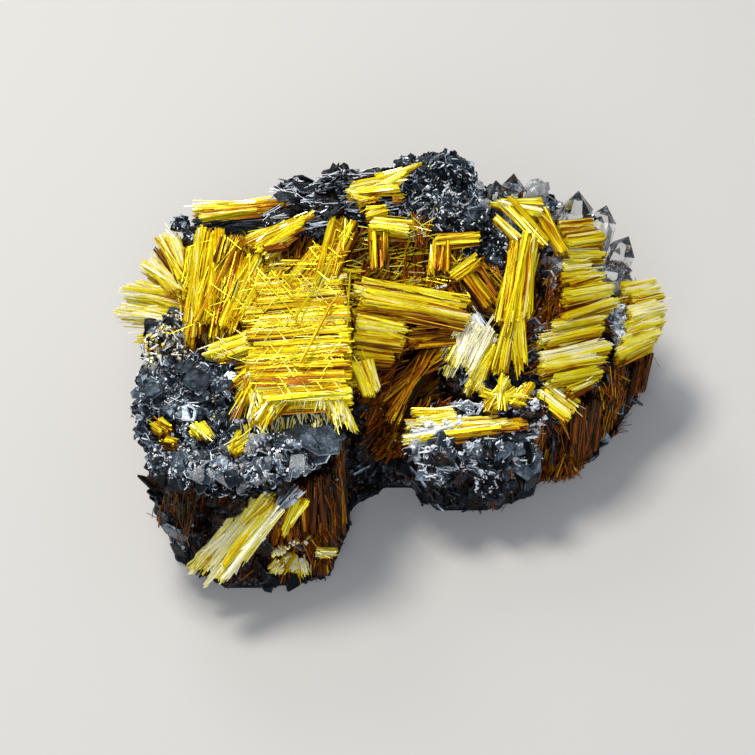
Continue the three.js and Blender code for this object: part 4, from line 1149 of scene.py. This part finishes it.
class SPECIMEN_OT_hematite_plates(bpy.types.Operator):
    """Stands small hematite plates and flakes on the matrix"""
    bl_idname = "specimen.hematite_plates"
    bl_label = "Hematite plates"

    def execute(self, context):
        material = hematite_material("hematite_plate_faces", 0.1)
        scatter(PLATE_ZONES, PLATE_SEED, plates_in, plate_mesh, material, "specular_hematite")
        dice = random.Random(BROAD_SEED)
        plates = []
        for x, y, radius, lean, tone in BROAD_PLATES:
            point, normal = seat(x, y)
            shares = [dice.uniform(0.8, 1.05) for _ in range(6)]
            plates.append((point + normal * BROAD_LIFT, normal + Vector(lean), radius, BROAD_THICK,
                           dice.uniform(0, 1), tone, BROAD_RIM, shares))
        show("broad_plates", plate_mesh(plates), material, "specular_hematite")
        # Grey splinters and the near-white lines of painted glint along plate edges.
        splinters_and_glint_lines = gather(sheaf_needles, GREY_STREAKS, dice)
        splinters_and_glint_lines += gather(loose_needles, PLATE_EDGES, dice)
        show("grey_streaks", needle_mesh(splinters_and_glint_lines), material, "specular_hematite")
        return {"FINISHED"}


# ---- Quartz ---------------------------------------------------------------------------

GROWTH_LINES = 1.8   # a millimetre, so 0.6 mm apart: coarser than real ones, so that they show

# Small crystals that stand on the matrix and on the crusts.
QUARTZ_ZONES = {
    "northeast_small_quartz": [
        Crystals((21, 16, 15), (6, 6, 6), (0.3, 0.3, 1), 150, (0.3, 0.85), 0.5),
    ],
    "north_small_quartz": [Crystals((12, 19.5, 18), (4, 3.5, 5), UP, 60, (0.25, 0.7), 0.6)],
    "lobe_small_quartz": [Crystals((-15, -13, 15), (6, 2.6, 3), UP, 60, (0.2, 0.5), 0.8)],
    "west_small_quartz": [
        Crystals((-22.5, 3.5, 14), (3, 5, 4), (-0.3, 0, 1), 150, (0.15, 0.45), 0.9),
    ],
}

CRYSTAL_FACES = np.array([
    *[face for i in range(6) for face in (
        (i, (i + 1) % 6, (i + 1) % 6 + 6), (i, (i + 1) % 6 + 6, i + 6),
        (i + 6, (i + 1) % 6 + 6, 12))],
    (0, 2, 1), (0, 3, 2), (0, 4, 3), (0, 5, 4)])


def quartz_material(name, clearness, haze):
    """Quartz, natural crystal faces. Clear glass with faint growth lines and a grey depth."""
    settings = bpy.context.scene.quartz
    material, tree, output = new_material(name)
    place = add_node(tree, "ShaderNodeTexCoord")
    lines = add_node(tree, "ShaderNodeTexNoise", {
        "Vector": place.outputs["Object"], "Scale": GROWTH_LINES / MM, "Detail": 3.0})
    bump = add_node(tree, "ShaderNodeBump", {
        "Height": lines.outputs["Fac"], "Strength": 0.25, "Distance": 0.05 * MM})
    surface = add_node(tree, "ShaderNodeBsdfPrincipled", {
        "Normal": bump.outputs["Normal"], "Base Color": linear("#F4F7FA"), "Roughness": haze,
        "IOR": settings.ior, "Transmission Weight": clearness})
    depth = add_node(tree, "ShaderNodeVolumeAbsorption", {
        "Color": linear("#B9C4CF"), "Density": 40.0})
    tree.links.new(surface.outputs["BSDF"], output.inputs["Surface"])
    tree.links.new(depth.outputs["Volume"], output.inputs["Volume"])
    return material


def crystals_in(zone, dice):
    """Rows for crystal_mesh: small crystals that stand on the matrix in one zone."""
    crystals = []
    for point, normal in spots_on_body(zone, dice):
        along = leaning(normal, zone.lean, dice)
        radius = dice.uniform(*zone.radius)
        crystals.append((point, along, radius, radius * dice.uniform(0.4, 1.6),
                         radius * dice.uniform(0.9, 1.3), dice.uniform(0, 1)))
    return crystals


def crystal_mesh(crystals):
    """
    One mesh of six-sided pointed crystals. A crystal is (foot, direction, half width, height
    of the sides, height of the point, turn), lengths in millimetres.
    """
    verts = []
    for foot, along, radius, side, point, turn in crystals:
        right = along.orthogonal().normalized()
        ahead = along.cross(right)
        for level, share in ((-radius, 1.0), (side, 0.94)):
            for i in range(6):
                angle = turn + i * math.pi / 3
                verts.append(foot + along * level
                             + (right * math.cos(angle) + ahead * math.sin(angle)) * radius * share)
        verts.append(foot + along * (side + point))
    return fill_mesh(to_metres([tuple(v) for v in verts]),
                     repeated(CRYSTAL_FACES, len(crystals), 13))


class SPECIMEN_OT_quartz(bpy.types.Operator):
    """Gives the quartz crystals their clear substance"""
    bl_idname = "specimen.quartz"
    bl_label = "Quartz crystals"

    def execute(self, context):
        haze = context.scene.quartz.haze
        clear = quartz_material("quartz_crystal_faces", 1.0, haze)
        crust = quartz_material("quartz_milky_crust", 0.8, haze * 3)
        for name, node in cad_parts.items():
            if name.startswith("quartz_"):
                milky = name.startswith(("quartz_lobe", "quartz_west"))
                node.data.materials.clear()
                node.data.materials.append(crust if milky else clear)
        scatter(QUARTZ_ZONES, QUARTZ_SEED, crystals_in, crystal_mesh, crust, "clear_quartz")
        return {"FINISHED"}


# ---- Stage ----------------------------------------------------------------------------

FLOOR_REACH = 1.5                                    # metres
TARGET = Vector((-1.3, 11.5 - MIDDLE[1], 0.0)) * MM  # what the camera looks at
LIT_POINT = (0, 0, 0.01)                             # what the lights look at, in metres
SENSOR_WIDTH = 36.0                                  # of the camera, in millimetres
NEAREST, FURTHEST = 0.01, 10.0                       # what the camera sees, in metres
ROOM_COLOUR, ROOM_STRENGTH = "#DCE6F2", 0.4          # even light from all round

# Square soft lights: name, direction, distance and size in metres, watts, colour.
LIGHTS = [
    ("key", (-0.35, 0.3, 1.0), 0.40, 0.12, 1.5, "#FFF8EC"),
    ("fill", (-0.1, -1.0, 0.85), 0.60, 0.3, 1.5, "#F4F6FF"),
    ("back", (-0.5, 1.0, 0.8), 0.60, 0.2, 0.7, "#F4F7FF"),
]


def aim(thing, target):
    """Turns a camera or light so that it looks at a point."""
    thing.rotation_euler = (Vector(target) - thing.location).to_track_quat("-Z", "Y").to_euler()


def soft_light(name, direction, distance, size, power, colour):
    """A square area light that looks at the specimen."""
    data = bpy.data.lights.new(name, "AREA")
    data.shape, data.size, data.energy, data.color = "SQUARE", size, power, linear(colour)[:3]
    light = bpy.data.objects.new(name, data)
    light.location = Vector(direction).normalized() * distance
    aim(light, LIT_POINT)
    bpy.context.scene.collection.objects.link(light)


def matt_floor(colour):
    """Matt painted board under the specimen: an even pale ground that takes a soft shadow."""
    mesh = bpy.data.meshes.new("floor")
    corners = [(-FLOOR_REACH, -FLOOR_REACH), (FLOOR_REACH, -FLOOR_REACH),
               (FLOOR_REACH, FLOOR_REACH), (-FLOOR_REACH, FLOOR_REACH)]
    mesh.from_pydata([(x, y, -FLOOR_GAP * MM) for x, y in corners], [], [(0, 1, 2, 3)])
    floor = bpy.data.objects.new("floor", mesh)
    bpy.context.scene.collection.objects.link(floor)
    material, tree, output = new_material("matt_floor")
    surface = add_node(tree, "ShaderNodeBsdfPrincipled", {
        "Base Color": (*colour, 1.0), "Roughness": 0.9})
    tree.links.new(surface.outputs["BSDF"], output.inputs["Surface"])
    mesh.materials.append(material)


class SPECIMEN_OT_stage(bpy.types.Operator):
    """Adds the floor, the soft light and the camera"""
    bl_idname = "specimen.stage"
    bl_label = "Stage"

    def execute(self, context):
        scene = context.scene
        settings = scene.stage
        matt_floor(settings.floor)

        world = bpy.data.worlds.new("soft_room")
        scene.world = world
        world.use_nodes = True
        background = world.node_tree.nodes["Background"]
        background.inputs["Color"].default_value = linear(ROOM_COLOUR)
        background.inputs["Strength"].default_value = ROOM_STRENGTH
        for light in LIGHTS:
            soft_light(*light)

        data = bpy.data.cameras.new("camera")
        data.lens, data.sensor_width = settings.lens, SENSOR_WIDTH
        data.clip_start, data.clip_end = NEAREST, FURTHEST
        camera = bpy.data.objects.new("camera", data)
        scene.collection.objects.link(camera)
        back = Vector((0.0, -math.cos(settings.elevation), math.sin(settings.elevation)))
        camera.location = TARGET + back * settings.distance
        aim(camera, TARGET)
        scene.camera = camera
        scene.view_settings.view_transform = "Standard"
        return {"FINISHED"}


# ---- Panel and registration -----------------------------------------------------------

STEPS = [
    SPECIMEN_OT_hematite_body,
    SPECIMEN_OT_hematite_plates,
    SPECIMEN_OT_rutile_sheaves,
    SPECIMEN_OT_loose_needles,
    SPECIMEN_OT_quartz,
    SPECIMEN_OT_stage,
]
SETTINGS = {
    "rutile": RutileSettings,
    "hematite": HematiteSettings,
    "quartz": QuartzSettings,
    "stage": StageSettings,
}


class SPECIMEN_PT_panel(bpy.types.Panel):
    """Lists the steps that build the specimen"""
    bl_label = "Specimen"
    bl_space_type = "VIEW_3D"
    bl_region_type = "UI"
    bl_category = "Specimen"

    def draw(self, context):
        for step in STEPS:
            self.layout.operator(step.bl_idname)


def register():
    """Registers the classes and gives each scene its settings."""
    for kind in [*SETTINGS.values(), *STEPS, SPECIMEN_PT_panel]:
        bpy.utils.register_class(kind)
    for name, kind in SETTINGS.items():
        setattr(bpy.types.Scene, name, PointerProperty(type=kind))


def unregister():
    """Takes back what register did."""
    for name in SETTINGS:
        delattr(bpy.types.Scene, name)
    for kind in reversed([*SETTINGS.values(), *STEPS, SPECIMEN_PT_panel]):
        bpy.utils.unregister_class(kind)


def main():
    """Builds the specimen step by step."""
    register()
    bpy.ops.specimen.hematite_body()
    bpy.ops.specimen.hematite_plates()
    bpy.ops.specimen.rutile_sheaves()
    bpy.ops.specimen.loose_needles()
    bpy.ops.specimen.quartz()
    bpy.ops.specimen.stage()
    bpy.context.view_layer.update()


if __name__ == "__main__":
    main()
